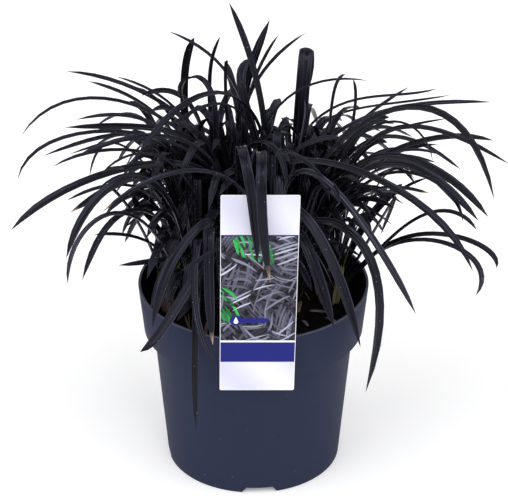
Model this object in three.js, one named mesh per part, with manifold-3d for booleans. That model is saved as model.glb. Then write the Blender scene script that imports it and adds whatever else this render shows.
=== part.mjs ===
// Black mondo grass: ten crowns of near-black strap leaves in a round plastic nursery pot,
// with its soil, the papery scales at two crowns and a plain plant label on the rim.
// Millimetres, +Z up. The origin is the centre of the pot's foot, on the ground.
// The label hangs on the -Y side of the rim.
import * as THREE from 'three';
import { mergeVertices } from 'three/addons/utils/BufferGeometryUtils.js';
import Module from 'manifold-3d';

const wasm = await Module();
wasm.setup();

// ---------- driving dimensions ----------
const GAP = 0.3;                      // clearance between touching pieces

const RIM_RADIUS = 86.5;
const RIM_HEIGHT = 147;
const WALL = 1.6;
const LIP_WIDTH = 2.1;
const LIP_BEVEL = 0.5;
const COLLAR_HEIGHT = 37.5;
const COLLAR_LOW_RADIUS = 82.6;
const BODY_TOP_RADIUS = 75.5;
const FOOT_RADIUS = 65.7;
const FLOOR_RISE = 5;
const FOOT_PAD_RADIUS = 18;
const POT_SIDES = 48;
const NOTCH_COUNT = 4;
const NOTCH_WIDE = 28;
const NOTCH_NARROW = 20;
const NOTCH_HEIGHT = 4.5;
const NOTCH_TURN = 0.07;              // radians, the front notch sits a little right of the middle
const NOTCH_REACH = 8;                // how far the cut runs inwards from the foot of the wall
const DRAIN_COUNT = 8;
const DRAIN_RADIUS = 5;
const DRAIN_CIRCLE = 46;
const DRAIN_SIDES = 12;

const SOIL_HEIGHT = 117;
const SOIL_BUMP = 2.2;
const SOIL_GAP = 0.7;                 // soil to the inside of the wall
const SOIL_SIDES = 30;
const SOIL_RINGS = 6;
const SOIL_BROAD_WAVE = 8.5;          // millimetres for each radian of the surface's waves
const SOIL_SHORT_WAVE = 3.3;

const CORE_RADIUS = 8.5;              // bundle of leaf bases at the soil
const CORE_FOOT = 102;
const CORE_FOOT_RADIUS = 4;
const CORE_WAIST = 114;
const CORE_SHOULDER = 123;
const CORE_TOP = 145;
const CORE_TOP_RADIUS = 3.6;
const CORE_SIDES = 9;
const ROOT_HEIGHT = 118;
const ROOT_SPREAD = 4;

const BLADE_STEPS = 7;
const JOINED_STEPS = 2;
const BLADE_DEPTH = 1.1;              // keel to upper face
const BASE_WIDTH_SHARE = 0.55;
const SWELL_END = 0.3;                // share of a blade at which it reaches its full width
const TAPER_START = 0.6;
const TAPER_POWER = 3.5;
const FACING_SHARE = 0.8;
const FACING_END = 0.6;               // share of a blade over which it turns from its root's facing
const FRONT_TWIST = 0.45;             // radians by which an outer blade's tip tips its face to the front

const SCALE_RING_LOW = 113;
const SCALE_RING_HIGH = 121.5;
const SCALE_RING_WALL = 1.2;
const SCALE_RING_SIDES = 20;
const SCALE_STEPS = 5;
const SCALE_SEAT_GAP = 1.2;           // scale ring to the wall of its seat in the soil
const SCALE_BEND_HEIGHT = 0.7;        // share of a scale's height at which it starts to lean
const SCALE_BEND_OUT = 0.3;

const LABEL_TOP = 267;
const LABEL_FOOT = 105;
const LABEL_TOP_WIDTH = 56;
const LABEL_FOOT_WIDTH = 54.2;
const LABEL_TOP_CENTRE = 5;
const LABEL_FOOT_CENTRE = 2.4;
const LABEL_THICKNESS = 0.8;
const LABEL_TONGUE_WIDTH = 30;
const LABEL_TONGUE_DROP = 24;
const LABEL_LEAN = 0.012;

const POT_COLOUR = 0x3a3e52;
const SOIL_COLOUR = 0x15110f;
const LABEL_COLOUR = 0xeceafa;
const SCALE_COLOUR = 0x9a8a5c;
const LEAF_COLOUR = 0x1c1c22;

// ---------- mesh helpers ----------
function toSolid(geometry) {
  const bare = geometry.clone();
  bare.deleteAttribute('normal');
  bare.deleteAttribute('uv');
  const merged = mergeVertices(bare, 1e-4);
  const triVerts = Uint32Array.from(merged.index.array);
  const vertProperties = Float32Array.from(merged.attributes.position.array);
  return new wasm.Manifold(new wasm.Mesh({ numProp: 3, vertProperties, triVerts }));
}

// The outer skin of a solid: hollows that crossing blades have closed off are filled.
function toGeometry(solid) {
  const mesh = solid.getMesh();
  const position = new THREE.BufferAttribute(Float32Array.from(mesh.vertProperties), 3);
  const leader = Array.from({ length: position.count }, (_, i) => i);
  const leaderOf = (i) => {
    let found = i;
    while (leader[found] !== found) {
      leader[found] = leader[leader[found]];
      found = leader[found];
    }
    return found;
  };
  for (let i = 0; i < mesh.triVerts.length; i += 3) {
    const first = leaderOf(mesh.triVerts[i]);
    leader[leaderOf(mesh.triVerts[i + 1])] = first;
    leader[leaderOf(mesh.triVerts[i + 2])] = first;
  }
  const skins = new Map();
  for (let i = 0; i < mesh.triVerts.length; i += 3) {
    const corners = Array.from(mesh.triVerts.subarray(i, i + 3));
    const [a, b, c] = corners.map((k) => new THREE.Vector3().fromBufferAttribute(position, k));
    const skin = skins.get(leaderOf(corners[0])) ?? { volume: 0, corners: [] };
    skin.volume += a.dot(b.cross(c)) / 6;
    skin.corners.push(...corners);
    skins.set(leaderOf(corners[0]), skin);
  }
  const outer = [...skins.values()].reduce((best, skin) => (skin.volume > best.volume ? skin : best));
  const geometry = new THREE.BufferGeometry();
  geometry.setAttribute('position', position);
  geometry.setIndex(outer.corners);
  return geometry;
}

function lathe(profile, sides) {
  const points = profile.map(([radius, height]) => new THREE.Vector2(radius, height));
  const geometry = new THREE.LatheGeometry(points, sides);
  geometry.rotateX(Math.PI / 2);
  return geometry;
}

const part = new THREE.Group();

function addPiece(name, solid, color, roughness) {
  const material = new THREE.MeshStandardMaterial({ color, roughness, metalness: 0 });
  const mesh = new THREE.Mesh(toGeometry(solid), material);
  mesh.name = name;
  part.add(mesh);
}

// ---------- pot ----------
const COLLAR_LOW = RIM_HEIGHT - COLLAR_HEIGHT;

function wallRadius(height) {
  if (height > COLLAR_LOW) {
    const share = (height - COLLAR_LOW) / COLLAR_HEIGHT;
    return COLLAR_LOW_RADIUS + (RIM_RADIUS - COLLAR_LOW_RADIUS) * share;
  }
  return FOOT_RADIUS + (BODY_TOP_RADIUS - FOOT_RADIUS) * height / COLLAR_LOW;
}

function makePot() {
  const floorTop = FLOOR_RISE + WALL;
  const ledgeTop = COLLAR_LOW + WALL;
  const lipLow = RIM_HEIGHT - LIP_WIDTH;
  const profile = [
    [0, 0],
    [FOOT_PAD_RADIUS, 0],
    [FOOT_PAD_RADIUS + 1, FLOOR_RISE],
    [FOOT_RADIUS - WALL, FLOOR_RISE],
    [FOOT_RADIUS - WALL, 0],
    [FOOT_RADIUS, 0],
    [BODY_TOP_RADIUS, COLLAR_LOW],
    [COLLAR_LOW_RADIUS, COLLAR_LOW],
    [RIM_RADIUS, RIM_HEIGHT - LIP_BEVEL],
    [RIM_RADIUS - LIP_BEVEL, RIM_HEIGHT],
    [RIM_RADIUS - LIP_WIDTH, RIM_HEIGHT],
    [wallRadius(lipLow) - WALL, lipLow],
    [wallRadius(ledgeTop) - WALL, ledgeTop],
    [wallRadius(COLLAR_LOW - 1) - WALL, ledgeTop],
    [wallRadius(floorTop) - WALL, floorTop],
    [0, floorTop],
  ];
  let pot = toSolid(lathe(profile, POT_SIDES));
  for (let i = 0; i < NOTCH_COUNT; i += 1) {
    const outline = new THREE.Shape([
      new THREE.Vector2(-NOTCH_WIDE / 2, -1),
      new THREE.Vector2(NOTCH_WIDE / 2, -1),
      new THREE.Vector2(NOTCH_NARROW / 2, NOTCH_HEIGHT),
      new THREE.Vector2(-NOTCH_NARROW / 2, NOTCH_HEIGHT),
    ]);
    const notch = new THREE.ExtrudeGeometry(outline, { depth: 2 * NOTCH_REACH, bevelEnabled: false });
    notch.rotateX(Math.PI / 2);
    notch.translate(0, NOTCH_REACH - FOOT_RADIUS, 0);
    notch.rotateZ(NOTCH_TURN + i * 2 * Math.PI / NOTCH_COUNT);
    pot = pot.subtract(toSolid(notch));
  }
  for (let i = 0; i < DRAIN_COUNT; i += 1) {
    const angle = (i + 0.5) * 2 * Math.PI / DRAIN_COUNT;
    const drain = new THREE.CylinderGeometry(DRAIN_RADIUS, DRAIN_RADIUS, 4 * WALL, DRAIN_SIDES);
    drain.rotateX(Math.PI / 2);
    drain.translate(DRAIN_CIRCLE * Math.cos(angle), DRAIN_CIRCLE * Math.sin(angle), FLOOR_RISE + WALL / 2);
    pot = pot.subtract(toSolid(drain));
  }
  return pot;
}

// ---------- soil ----------
function soilHeight(x, y) {
  const broad = Math.sin(x / SOIL_BROAD_WAVE) * Math.cos(y / SOIL_BROAD_WAVE);
  const short = Math.sin((x - y / 2) / SOIL_SHORT_WAVE) * Math.cos(y / SOIL_SHORT_WAVE);
  return SOIL_HEIGHT + SOIL_BUMP * (2 * broad + short) / 3;
}

function makeSoil(crowns) {
  const floorTop = FLOOR_RISE + WALL + GAP;
  const ledge = COLLAR_LOW + WALL + GAP;
  const inside = (height) => wallRadius(height) - WALL - SOIL_GAP;
  const edge = inside(SOIL_HEIGHT - SOIL_BUMP);
  const profile = [
    [0, floorTop],
    [inside(floorTop), floorTop],
    [inside(COLLAR_LOW - 1), ledge],
    [inside(ledge), ledge],
    [edge, SOIL_HEIGHT],
  ];
  for (let i = 1; i <= SOIL_RINGS; i += 1) {
    profile.push([edge * (1 - i / SOIL_RINGS), SOIL_HEIGHT]);
  }
  const geometry = lathe(profile, SOIL_SIDES);
  const position = geometry.attributes.position;
  for (let i = 0; i < position.count; i += 1) {
    if (position.getZ(i) > SOIL_HEIGHT - 0.01) {
      position.setZ(i, soilHeight(position.getX(i), position.getY(i)));
    }
  }
  let soil = toSolid(geometry);
  for (const [x, y] of crowns) {
    const foot = CORE_FOOT - GAP;
    const hole = lathe([
      [0, foot],
      [CORE_FOOT_RADIUS + GAP, foot],
      [CORE_RADIUS + GAP, CORE_WAIST - GAP],
      [CORE_RADIUS + GAP, CORE_SHOULDER],
      [0, CORE_SHOULDER],
    ], CORE_SIDES);
    hole.translate(x, y, 0);
    soil = soil.subtract(toSolid(hole));
  }
  for (const name of Object.keys(SHEATHS)) {
    const [x, y] = TUFTS[name].crown;
    const seatRadius = CORE_RADIUS + GAP + SCALE_RING_WALL + SCALE_SEAT_GAP;
    const seat = lathe([
      [0, SCALE_RING_LOW - GAP],
      [seatRadius, SCALE_RING_LOW - GAP],
      [seatRadius, CORE_SHOULDER],
      [0, CORE_SHOULDER],
    ], SCALE_RING_SIDES);
    seat.translate(x, y, 0);
    soil = soil.subtract(toSolid(seat));
  }
  return soil;
}

// ---------- leaf paths ----------
// A blade follows a Bezier curve from its root. Its route lists the points that pull it, and its tip,
// as distances in millimetres from the pot's centre and the ground.
const TANGENT_STEP = 0.02;
const LEAST_HALF_WIDTH = 0.05;
const HEADING_BLUR = 0.05;            // keeps the facing angle finite for a blade that heads sideways
const MULTIPLIER = 48271;
const MODULUS = 2147483647;
let state = 1851;

function draw(low, high) {
  state = (state * MULTIPLIER) % MODULUS;
  return low + (high - low) * state / MODULUS;
}

function curvePoint(points, share) {
  let level = points;
  while (level.length > 1) {
    const next = [];
    for (let i = 0; i + 1 < level.length; i += 1) {
      const [a, b] = [level[i], level[i + 1]];
      next.push([
        a[0] + (b[0] - a[0]) * share,
        a[1] + (b[1] - a[1]) * share,
        a[2] + (b[2] - a[2]) * share,
      ]);
    }
    level = next;
  }
  return level[0];
}

const minus = (a, b) => [a[0] - b[0], a[1] - b[1], a[2] - b[2]];
const plus = (a, b, scale = 1) => [a[0] + b[0] * scale, a[1] + b[1] * scale, a[2] + b[2] * scale];
const dot = (a, b) => a[0] * b[0] + a[1] * b[1] + a[2] * b[2];
const length = (a) => Math.sqrt(dot(a, a));
const unit = (a) => plus([0, 0, 0], a, 1 / length(a));
const cross = (a, b) => [
  a[1] * b[2] - a[2] * b[1],
  a[2] * b[0] - a[0] * b[2],
  a[0] * b[1] - a[1] * b[0],
];

function bladeWidth(share) {
  const base = Math.min(1, share / SWELL_END);
  const swell = BASE_WIDTH_SHARE + (1 - BASE_WIDTH_SHARE) * base * (2 - base);
  const run = Math.max(0, (share - TAPER_START) / (1 - TAPER_START));
  return swell * (1 - Math.pow(run, TAPER_POWER));
}

// The cross-sections of a blade: centre of its upper face, sideways and upward directions, half width.
// At its root a blade faces the front or the back of the pot. It turns to lie flat as it arches over, and
// keeps facing that way where it stays upright.
function sections(route, width, twist, steps, facingShare) {
  const tip = route[route.length - 1];
  const root = route[0];
  const heading = unit([tip[0] - root[0], tip[1] - root[1], 1e-6]);
  const facing = facingShare * Math.atan(heading[0] / (Math.abs(heading[1]) + HEADING_BLUR))
    * (heading[1] < 0 ? -1 : 1);
  const upright = Math.max(0, unit(minus(tip, route[route.length - 2]))[2]);
  const rows = [];
  for (let i = 0; i <= steps; i += 1) {
    const share = i / steps;
    const before = curvePoint(route, Math.max(0, share - TANGENT_STEP));
    const after = curvePoint(route, Math.min(1, share + TANGENT_STEP));
    const along = unit(minus(after, before));
    const flat = [heading[1], -heading[0], 0];
    const side = unit(plus(flat, along, -dot(flat, along)));
    const up = cross(side, along);
    const hold = Math.max(0, 1 - share / FACING_END);
    const turn = facing * Math.max(upright, hold * hold) + twist * share;
    const turned = plus([side[0] * Math.cos(turn), side[1] * Math.cos(turn), side[2] * Math.cos(turn)],
      up, Math.sin(turn));
    rows.push({
      centre: curvePoint(route, share),
      side: turned,
      up: cross(turned, along),
      half: Math.max(LEAST_HALF_WIDTH, width * bladeWidth(share) / 2),
    });
  }
  return rows;
}

// ---------- keeping blades of different pieces apart ----------
function nearestOnSegments(p, q, r, s) {
  const d1 = minus(q, p);
  const d2 = minus(s, r);
  const w = minus(p, r);
  const a = dot(d1, d1);
  const e = dot(d2, d2);
  const f = dot(d2, w);
  const c = dot(d1, w);
  const b = dot(d1, d2);
  const denominator = a * e - b * b;
  let u = denominator > 1e-9 ? Math.min(1, Math.max(0, (b * f - c * e) / denominator)) : 0;
  let v = (b * u + f) / e;
  if (v < 0) {
    v = 0;
    u = Math.min(1, Math.max(0, -c / a));
  } else if (v > 1) {
    v = 1;
    u = Math.min(1, Math.max(0, (b - c) / a));
  }
  return minus(plus(p, d1, u), plus(r, d2, v));
}

const CROSSING = 0.2;                 // middle lines nearer than this cross
const reach = (row, way) => row.half * Math.abs(dot(row.side, way)) + BLADE_DEPTH * Math.abs(dot(row.up, way));
const REACH_LIMIT = 12;

// Blades of one crown may join near their roots, up to the section given as free.
function bladesMeet(rowsA, rowsB, free) {
  for (let i = free; i + 1 < rowsA.length; i += 1) {
    const middleA = curvePoint([rowsA[i].centre, rowsA[i + 1].centre], 0.5);
    const lengthA = length(minus(rowsA[i].centre, rowsA[i + 1].centre));
    for (let j = free; j + 1 < rowsB.length; j += 1) {
      const middleB = curvePoint([rowsB[j].centre, rowsB[j + 1].centre], 0.5);
      const lengthB = length(minus(rowsB[j].centre, rowsB[j + 1].centre));
      if (length(minus(middleA, middleB)) < (lengthA + lengthB) / 2 + REACH_LIMIT) {
        const offset = nearestOnSegments(rowsA[i].centre, rowsA[i + 1].centre,
          rowsB[j].centre, rowsB[j + 1].centre);
        const distance = length(offset);
        if (distance < CROSSING) {
          return true;
        }
        const way = unit(offset);
        const needed = Math.max(reach(rowsA[i], way), reach(rowsA[i + 1], way))
          + Math.max(reach(rowsB[j], way), reach(rowsB[j + 1], way));
        if (distance < needed + GAP) {
          return true;
        }
      }
    }
  }
  return false;
}

const HOLDER_CHECKS = 9;
const HOLDER_MARGIN = 1.3;
const CORE_MARGIN = 2.8;

// True where a blade comes too near the pot, the soil, the ground, the label or another crown's core.
function meetsHolder(rows, crown, crowns, lowest) {
  const margin = HOLDER_MARGIN;
  const labelHalf = Math.max(LABEL_TOP_WIDTH, LABEL_FOOT_WIDTH) / 2 + 3 * margin;
  for (let i = 1; i < rows.length; i += 1) {
    for (let k = 1; k <= HOLDER_CHECKS; k += 1) {
      const centre = curvePoint([rows[i - 1].centre, rows[i].centre], k / HOLDER_CHECKS);
      const half = Math.max(rows[i - 1].half, rows[i].half);
      const { side, up } = rows[i];
      const edges = [plus(centre, side, half), plus(centre, side, -half)];
      for (const point of [centre, ...edges, plus(centre, up, -BLADE_DEPTH)]) {
        const [x, y, z] = point;
        const radius = Math.hypot(x, y);
        const inWall = radius > wallRadius(z) - WALL - 1 - margin && radius < wallRadius(z) + margin;
        if (z < RIM_HEIGHT + margin && inWall) {
          return true;
        }
        const fromCrown = Math.hypot(x - crown[0], y - crown[1]);
        if (radius < RIM_RADIUS && z < lowest + margin && fromCrown > CORE_RADIUS - GAP) {
          return true;
        }
        if (z < margin) {
          return true;
        }
        const beside = Math.abs(x - LABEL_TOP_CENTRE) > labelHalf;
        const onLabel = !beside && z > LABEL_FOOT - margin && z < LABEL_TOP + margin;
        if (onLabel && y > labelFace(z) - LABEL_THICKNESS - margin && y < labelFace(z) + margin) {
          return true;
        }
        for (const other of crowns) {
          const away = Math.hypot(x - other[0], y - other[1]);
          if (other !== crown && z < CORE_TOP && away < CORE_RADIUS + CORE_MARGIN) {
            return true;
          }
        }
      }
    }
  }
  return false;
}

// ---------- label ----------
// The tag leans on the widest point of the rim, and its foot follows the collar inwards.
function labelFace(z) {
  return -(RIM_RADIUS + GAP) - LABEL_LEAN * (z - RIM_HEIGHT);
}

function makeLabel() {
  const back = labelFace(RIM_HEIGHT);
  const outline = new THREE.Shape([
    new THREE.Vector2(LABEL_FOOT_CENTRE - LABEL_FOOT_WIDTH / 2, LABEL_FOOT),
    new THREE.Vector2(LABEL_FOOT_CENTRE + LABEL_FOOT_WIDTH / 2, LABEL_FOOT),
    new THREE.Vector2(LABEL_TOP_CENTRE + LABEL_TOP_WIDTH / 2, LABEL_TOP),
    new THREE.Vector2(LABEL_TOP_CENTRE - LABEL_TOP_WIDTH / 2, LABEL_TOP),
  ]);
  const plate = new THREE.ExtrudeGeometry(outline, { depth: LABEL_THICKNESS, bevelEnabled: false });
  plate.rotateX(Math.PI / 2);
  const position = plate.attributes.position;
  for (let i = 0; i < position.count; i += 1) {
    position.setY(i, position.getY(i) + labelFace(position.getZ(i)));
  }
  const slotHigh = RIM_HEIGHT + GAP;
  const farEdge = LABEL_FOOT_CENTRE + LABEL_TONGUE_WIDTH / 2;
  const chord = (radius) => -Math.sqrt(radius * radius - farEdge * farEdge) + 2 * GAP;
  const wallInside = chord(wallRadius(RIM_HEIGHT - LABEL_TONGUE_DROP) - WALL);
  const lipInside = chord(RIM_RADIUS - LIP_WIDTH);
  const hook = new THREE.Shape([
    new THREE.Vector2(back - LABEL_THICKNESS / 2, slotHigh),
    new THREE.Vector2(lipInside, slotHigh),
    new THREE.Vector2(wallInside, RIM_HEIGHT - LABEL_TONGUE_DROP),
    new THREE.Vector2(wallInside + LABEL_THICKNESS, RIM_HEIGHT - LABEL_TONGUE_DROP),
    new THREE.Vector2(lipInside + LABEL_THICKNESS, slotHigh + LABEL_THICKNESS),
    new THREE.Vector2(back - LABEL_THICKNESS / 2, slotHigh + LABEL_THICKNESS),
  ]);
  const tongue = new THREE.ExtrudeGeometry(hook, { depth: LABEL_TONGUE_WIDTH, bevelEnabled: false });
  tongue.rotateX(Math.PI / 2);
  tongue.rotateZ(Math.PI / 2);
  tongue.translate(LABEL_FOOT_CENTRE - LABEL_TONGUE_WIDTH / 2, 0, 0);
  return toSolid(plate).add(toSolid(tongue));
}

// ---------- blades and crowns as solids ----------
// A blade has a flat upper face and a keel, so its section is a low triangle.
function bladeSolid(rows) {
  const points = [];
  const triangles = [];
  const steps = rows.length - 1;
  for (let i = 0; i < steps; i += 1) {
    const row = rows[i];
    points.push(plus(row.centre, row.side, -row.half));
    points.push(plus(row.centre, row.side, row.half));
    points.push(plus(row.centre, row.up, -BLADE_DEPTH));
  }
  points.push(rows[steps].centre);
  triangles.push([0, 2, 1]);
  for (let i = 0; i + 1 < steps; i += 1) {
    for (let k = 0; k < 3; k += 1) {
      const [a, b] = [3 * i + k, 3 * i + (k + 1) % 3];
      triangles.push([a, b, b + 3]);
      triangles.push([a, b + 3, a + 3]);
    }
  }
  const last = 3 * (steps - 1);
  triangles.push([last, last + 1, 3 * steps]);
  triangles.push([last + 1, last + 2, 3 * steps]);
  triangles.push([last + 2, last, 3 * steps]);
  const geometry = new THREE.BufferGeometry();
  geometry.setAttribute('position', new THREE.BufferAttribute(Float32Array.from(points.flat()), 3));
  geometry.setIndex(triangles.flat());
  return toSolid(geometry);
}

function coreSolid([x, y]) {
  const core = lathe([
    [0, CORE_FOOT],
    [CORE_FOOT_RADIUS, CORE_FOOT],
    [CORE_RADIUS, CORE_WAIST],
    [CORE_RADIUS, CORE_SHOULDER],
    [CORE_TOP_RADIUS, CORE_TOP],
    [0, CORE_TOP],
  ], CORE_SIDES);
  core.translate(x, y, 0);
  return toSolid(core);
}

// ---------- the plant's own leaves ----------
// leaves: pull points, then the tip, then the width. fillers, for each group of seeded leaves: count,
// middle heading and spread in degrees, shortest and longest reach, lowest and highest tip above the soil.
const TUFTS = {
  front_left: {
    crown: [-40, -30],
    leaves: [
      [-45, -40, 240, -65, -45, 295, -120, -55, 265, -135, -62, 201, 7],
      [-60, -40, 225, -90, -50, 265, -135, -60, 230, -134, -68, 183, 4],
      [30, -35, 200, 15, -40, 265, -45, -45, 295, -110, -50, 231, 3.8],
      [-45, -50, 205, -35, -65, 215, -45, -80, 165, -42, -98, 79, 4.8],
      [-40, -50, 245, -30, -65, 250, -60, -80, 170, -27, -96, 134, 4.2],
      [-35, -50, 220, -30, -65, 265, -40, -80, 230, -31, -95, 148, 6.4],
      [-35, -45, 200, -25, -55, 235, -35, -65, 235, -25, -72, 168, 5],
      [0, -50, 235, -40, -65, 240, -60, -80, 150, -85, -93, 141, 6.4],
      [-10, -45, 225, -10, -60, 255, -65, -70, 220, -73, -82, 150, 5.6],
      [-25, -45, 175, -30, -55, 185, -61, -62, 156, 4.6],
      [-35, -45, 170, -35, -55, 180, -56, -66, 151, 3.8],
    ],
    fillers: [[6, 235, 50, 20, 60, 30, 80], [5, 70, 90, 10, 45, 30, 80]],
  },
  front_right: {
    crown: [14, -22],
    leaves: [
      [10, -35, 330, 45, -45, 265, 80, -60, 240, 118, -72, 160, 5.6],
      [-5, -40, 245, 65, -55, 255, 115, -70, 225, 82, -82, 99, 7],
      [-10, -50, 285, 45, -75, 280, 77, -100, 149, 7],
      [25, -45, 240, 30, -70, 255, 58, -90, 160, 7.6],
    ],
    fillers: [[5, 330, 50, 20, 70, 30, 90]],
  },
  left: {
    crown: [-42, 8],
    leaves: [
      [-60, -5, 250, -25, -20, 255, -70, -30, 174, 6.4],
      [-65, 10, 245, -60, -10, 265, -134, -30, 221, 6.4],
      [5, -5, 255, -15, -15, 275, -130, -25, 265, -177, -35, 209, 6.4],
      [-10, 10, 260, -25, 15, 275, -139, 15, 268, 5.6],
      [10, 15, 225, -40, 25, 285, -135, 30, 320, -174, 40, 247, 3.2],
      [-20, 5, 310, -131, 25, 269, 3.4],
      [20, 5, 240, -30, 5, 280, -160, 5, 295, -174, 5, 229, 3.4],
      [-35, 5, 260, -55, 5, 295, -155, 0, 252, 3.8],
      [-30, 10, 245, -50, 10, 285, -137, 10, 248, 2.8],
      [20, 5, 240, -45, 0, 300, -131, -5, 252, 4.2],
      [-10, 0, 210, -30, -5, 260, -100, -10, 280, -147, -15, 251, 3],
      [-45, 5, 215, -95, 5, 285, -115, 0, 275, -120, -10, 240, 2.4],
      [-15, 0, 230, -70, -15, 290, -109, -30, 253, 2],
      [-50, -10, 225, -80, -30, 265, -135, -45, 239, 3],
      [-40, -15, 225, -65, -30, 275, -107, -50, 253, 3],
      [-25, 20, 275, -5, 25, 325, -70, 35, 310, -51, 40, 276, 3.8],
    ],
    fillers: [[2, 180, 40, 40, 70, 50, 90], [6, 90, 120, 15, 55, 20, 70]],
  },
  right: {
    crown: [30, 12],
    leaves: [
      [5, 5, 235, 85, -5, 320, 150, -10, 335, 176, -20, 226, 6.4],
      [65, 15, 270, 95, 20, 300, 191, 25, 232, 4.6],
      [25, 20, 215, 115, 30, 270, 179, 35, 247, 5],
      [60, 10, 220, 90, 10, 270, 141, 10, 247, 2.6],
      [60, 30, 235, 80, 35, 270, 101, 38, 265, 5],
      [60, 30, 225, 85, 35, 255, 100, 38, 244, 5],
      [45, 15, 235, 75, 15, 295, 125, 20, 285, 133, 20, 236, 2.2],
      [50, 5, 235, 70, -5, 285, 135, -15, 265, 172, -22, 213, 6.8],
      [40, 0, 220, 80, -10, 275, 120, -20, 270, 164, -32, 215, 6.8],
      [60, 0, 235, 90, -15, 275, 150, -25, 250, 152, -40, 219, 3.2],
      [-30, -5, 260, 0, -25, 295, 130, -40, 265, 159, -60, 189, 5.8],
    ],
    fillers: [[9, 5, 45, 60, 120, 90, 150], [4, 90, 120, 15, 55, 20, 70]],
  },
  outer_left: {
    crown: [-62, 12],
    leaves: [
      [-35, -5, 195, -80, -20, 240, -105, -35, 240, -125, -48, 175, 4.8],
      [-50, 5, 165, -75, -5, 195, -118, -10, 192, 3.2],
      [-50, 10, 175, -70, 10, 235, -80, 10, 237, 4.2],
      [-70, 10, 185, -110, 5, 235, -106, 0, 224, 4],
      [-45, 10, 185, -90, 5, 200, -89, 0, 222, 3.8],
    ],
    fillers: [[5, 185, 90, 25, 50, 35, 80]],
  },
  outer_right: {
    crown: [58, 25],
    leaves: [
      [95, 10, 190, 130, -15, 205, 185, -35, 190, 163, -50, 163, 4.4],
      [100, 15, 190, 125, 5, 195, 185, -5, 185, 180, -15, 166, 4.6],
      [100, 0, 180, 115, -5, 215, 150, -5, 220, 165, -10, 195, 3.6],
      [70, 25, 160, 85, 20, 195, 111, 20, 219, 5.6],
      [105, 20, 210, 115, 15, 235, 95, 10, 181, 4.2],
      [75, 15, 175, 95, 10, 220, 128, 0, 234, 2.4],
      [75, 15, 195, 95, 5, 245, 105, 0, 255, 119, -10, 233, 2.4],
    ],
    fillers: [[8, 10, 80, 25, 60, 45, 100]],
  },
  centre: {
    crown: [-8, 18],
    leaves: [
      [30, -5, 250, 15, -20, 340, -40, -40, 350, -83, -60, 282, 4.8],
      [20, -5, 270, 0, -20, 340, -61, -40, 295, 3],
      [-25, 50, 310, -19, 40, 310, 2.4],
      [20, 30, 195, 15, 35, 285, -18, 45, 355, 4.6],
      [35, 25, 245, -30, 25, 295, -2, 30, 317, 7],
      [40, -40, 290, 36, -30, 313, 2.6],
      [-5, 10, 270, -20, -95, 340, 0, -100, 310, 3, -95, 215, 6.4],
      [-5, 10, 275, 20, -100, 335, -5, -105, 305, 12, -98, 202, 6.4],
      [-35, 0, 225, -25, -20, 290, 20, -35, 305, 22, -50, 250, 4],
      [-5, -10, 250, 5, -35, 305, 51, -60, 265, 3.6],
      [-10, 0, 185, -35, -20, 180, -99, -35, 180, 4.6],
      [5, -10, 185, -5, -35, 220, -46, -60, 232, 2.6],
      [0, -45, 220, 0, -85, 240, -52, -92, 207, 2.8],
    ],
    fillers: [[15, 270, 180, 15, 75, 70, 190], [8, 90, 180, 10, 50, 30, 90]],
  },
  back_left: {
    crown: [-35, 50],
    leaves: [
      [35, 60, 185, -55, 65, 285, -141, 75, 285, 3.6],
      [-10, 45, 270, -103, 60, 288, 2.8],
      [-25, 50, 265, -123, 50, 289, 4.2],
      [-40, 55, 270, -92, 80, 270, 2.8],
      [15, 55, 225, 5, 55, 300, -63, 60, 325, 3.4],
      [-50, 60, 215, -60, 65, 290, -44, 70, 316, 5.8],
      [-20, 55, 260, -50, 60, 290, -84, 60, 272, 5],
      [-30, 55, 240, -55, 60, 275, -77, 60, 259, 5],
      [-20, 50, 220, -45, 50, 290, -24, 50, 326, 4],
    ],
    fillers: [[11, 120, 50, 60, 120, 30, 120], [6, 180, 180, 15, 60, 20, 80]],
  },
  back_right: {
    crown: [32, 52],
    leaves: [
      [-20, 55, 200, -20, 55, 260, 12, 55, 336, 6],
      [-15, 50, 195, -20, 50, 265, 19, 50, 327, 4.6],
      [-25, 55, 205, -25, 60, 280, 39, 60, 324, 2.6],
      [-30, 60, 215, 10, 70, 295, 87, 75, 277, 2.2],
      [65, 55, 200, 50, 65, 285, 69, 70, 285, 2.8],
      [85, 60, 255, 74, 60, 286, 3.6],
      [30, 70, 210, 40, 80, 285, 40, 95, 340, 42, 112, 250, 9.6],
      [15, 65, 205, 5, 75, 240, 10, 85, 280, 10, 95, 221, 6.4],
      [-5, 60, 220, 50, 70, 290, 90, 75, 255, 140, 85, 266, 2.8],
      [15, 60, 280, 60, 70, 250, 150, 80, 263, 2.4],
      [30, 60, 190, 60, 70, 240, 118, 75, 273, 4],
      [15, 50, 230, 60, 45, 280, 178, 45, 274, 4],
      [55, 45, 195, 90, 35, 245, 137, 30, 247, 3],
      [60, 55, 230, 80, 55, 245, 146, 60, 253, 2.4],
    ],
    fillers: [[12, 35, 50, 60, 130, 30, 110], [6, 0, 180, 15, 60, 20, 80]],
  },
  back: {
    crown: [0, 62],
    leaves: [
      [-5, 85, 250, -22, 100, 282, 6],
    ],
    fillers: [[20, 90, 75, 50, 100, 10, 95], [8, 270, 180, 15, 60, 20, 90]],
  },
};

// Scales at the foot of two crowns: heading in degrees, lean outwards, height, width.
const SHEATHS = {
  outer_left: [
    [168, 2, 33, 7],
    [245, 6, 38, 8],
    [300, 10, 27, 7],
    [95, 7, 44, 7],
  ],
  outer_right: [
    [75, 3, 36, 8],
    [300, 7, 42, 7],
    [245, 11, 28, 8],
    [150, 8, 38, 7],
  ],
};

const crowns = Object.values(TUFTS).map((tuft) => tuft.crown);
const placed = [];

function rootOf(crown, toward) {
  const way = [toward[0] - crown[0], toward[1] - crown[1]];
  const size = Math.max(1, Math.hypot(way[0], way[1]));
  return [crown[0] + ROOT_SPREAD * way[0] / size, crown[1] + ROOT_SPREAD * way[1] / size, ROOT_HEIGHT];
}

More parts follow.
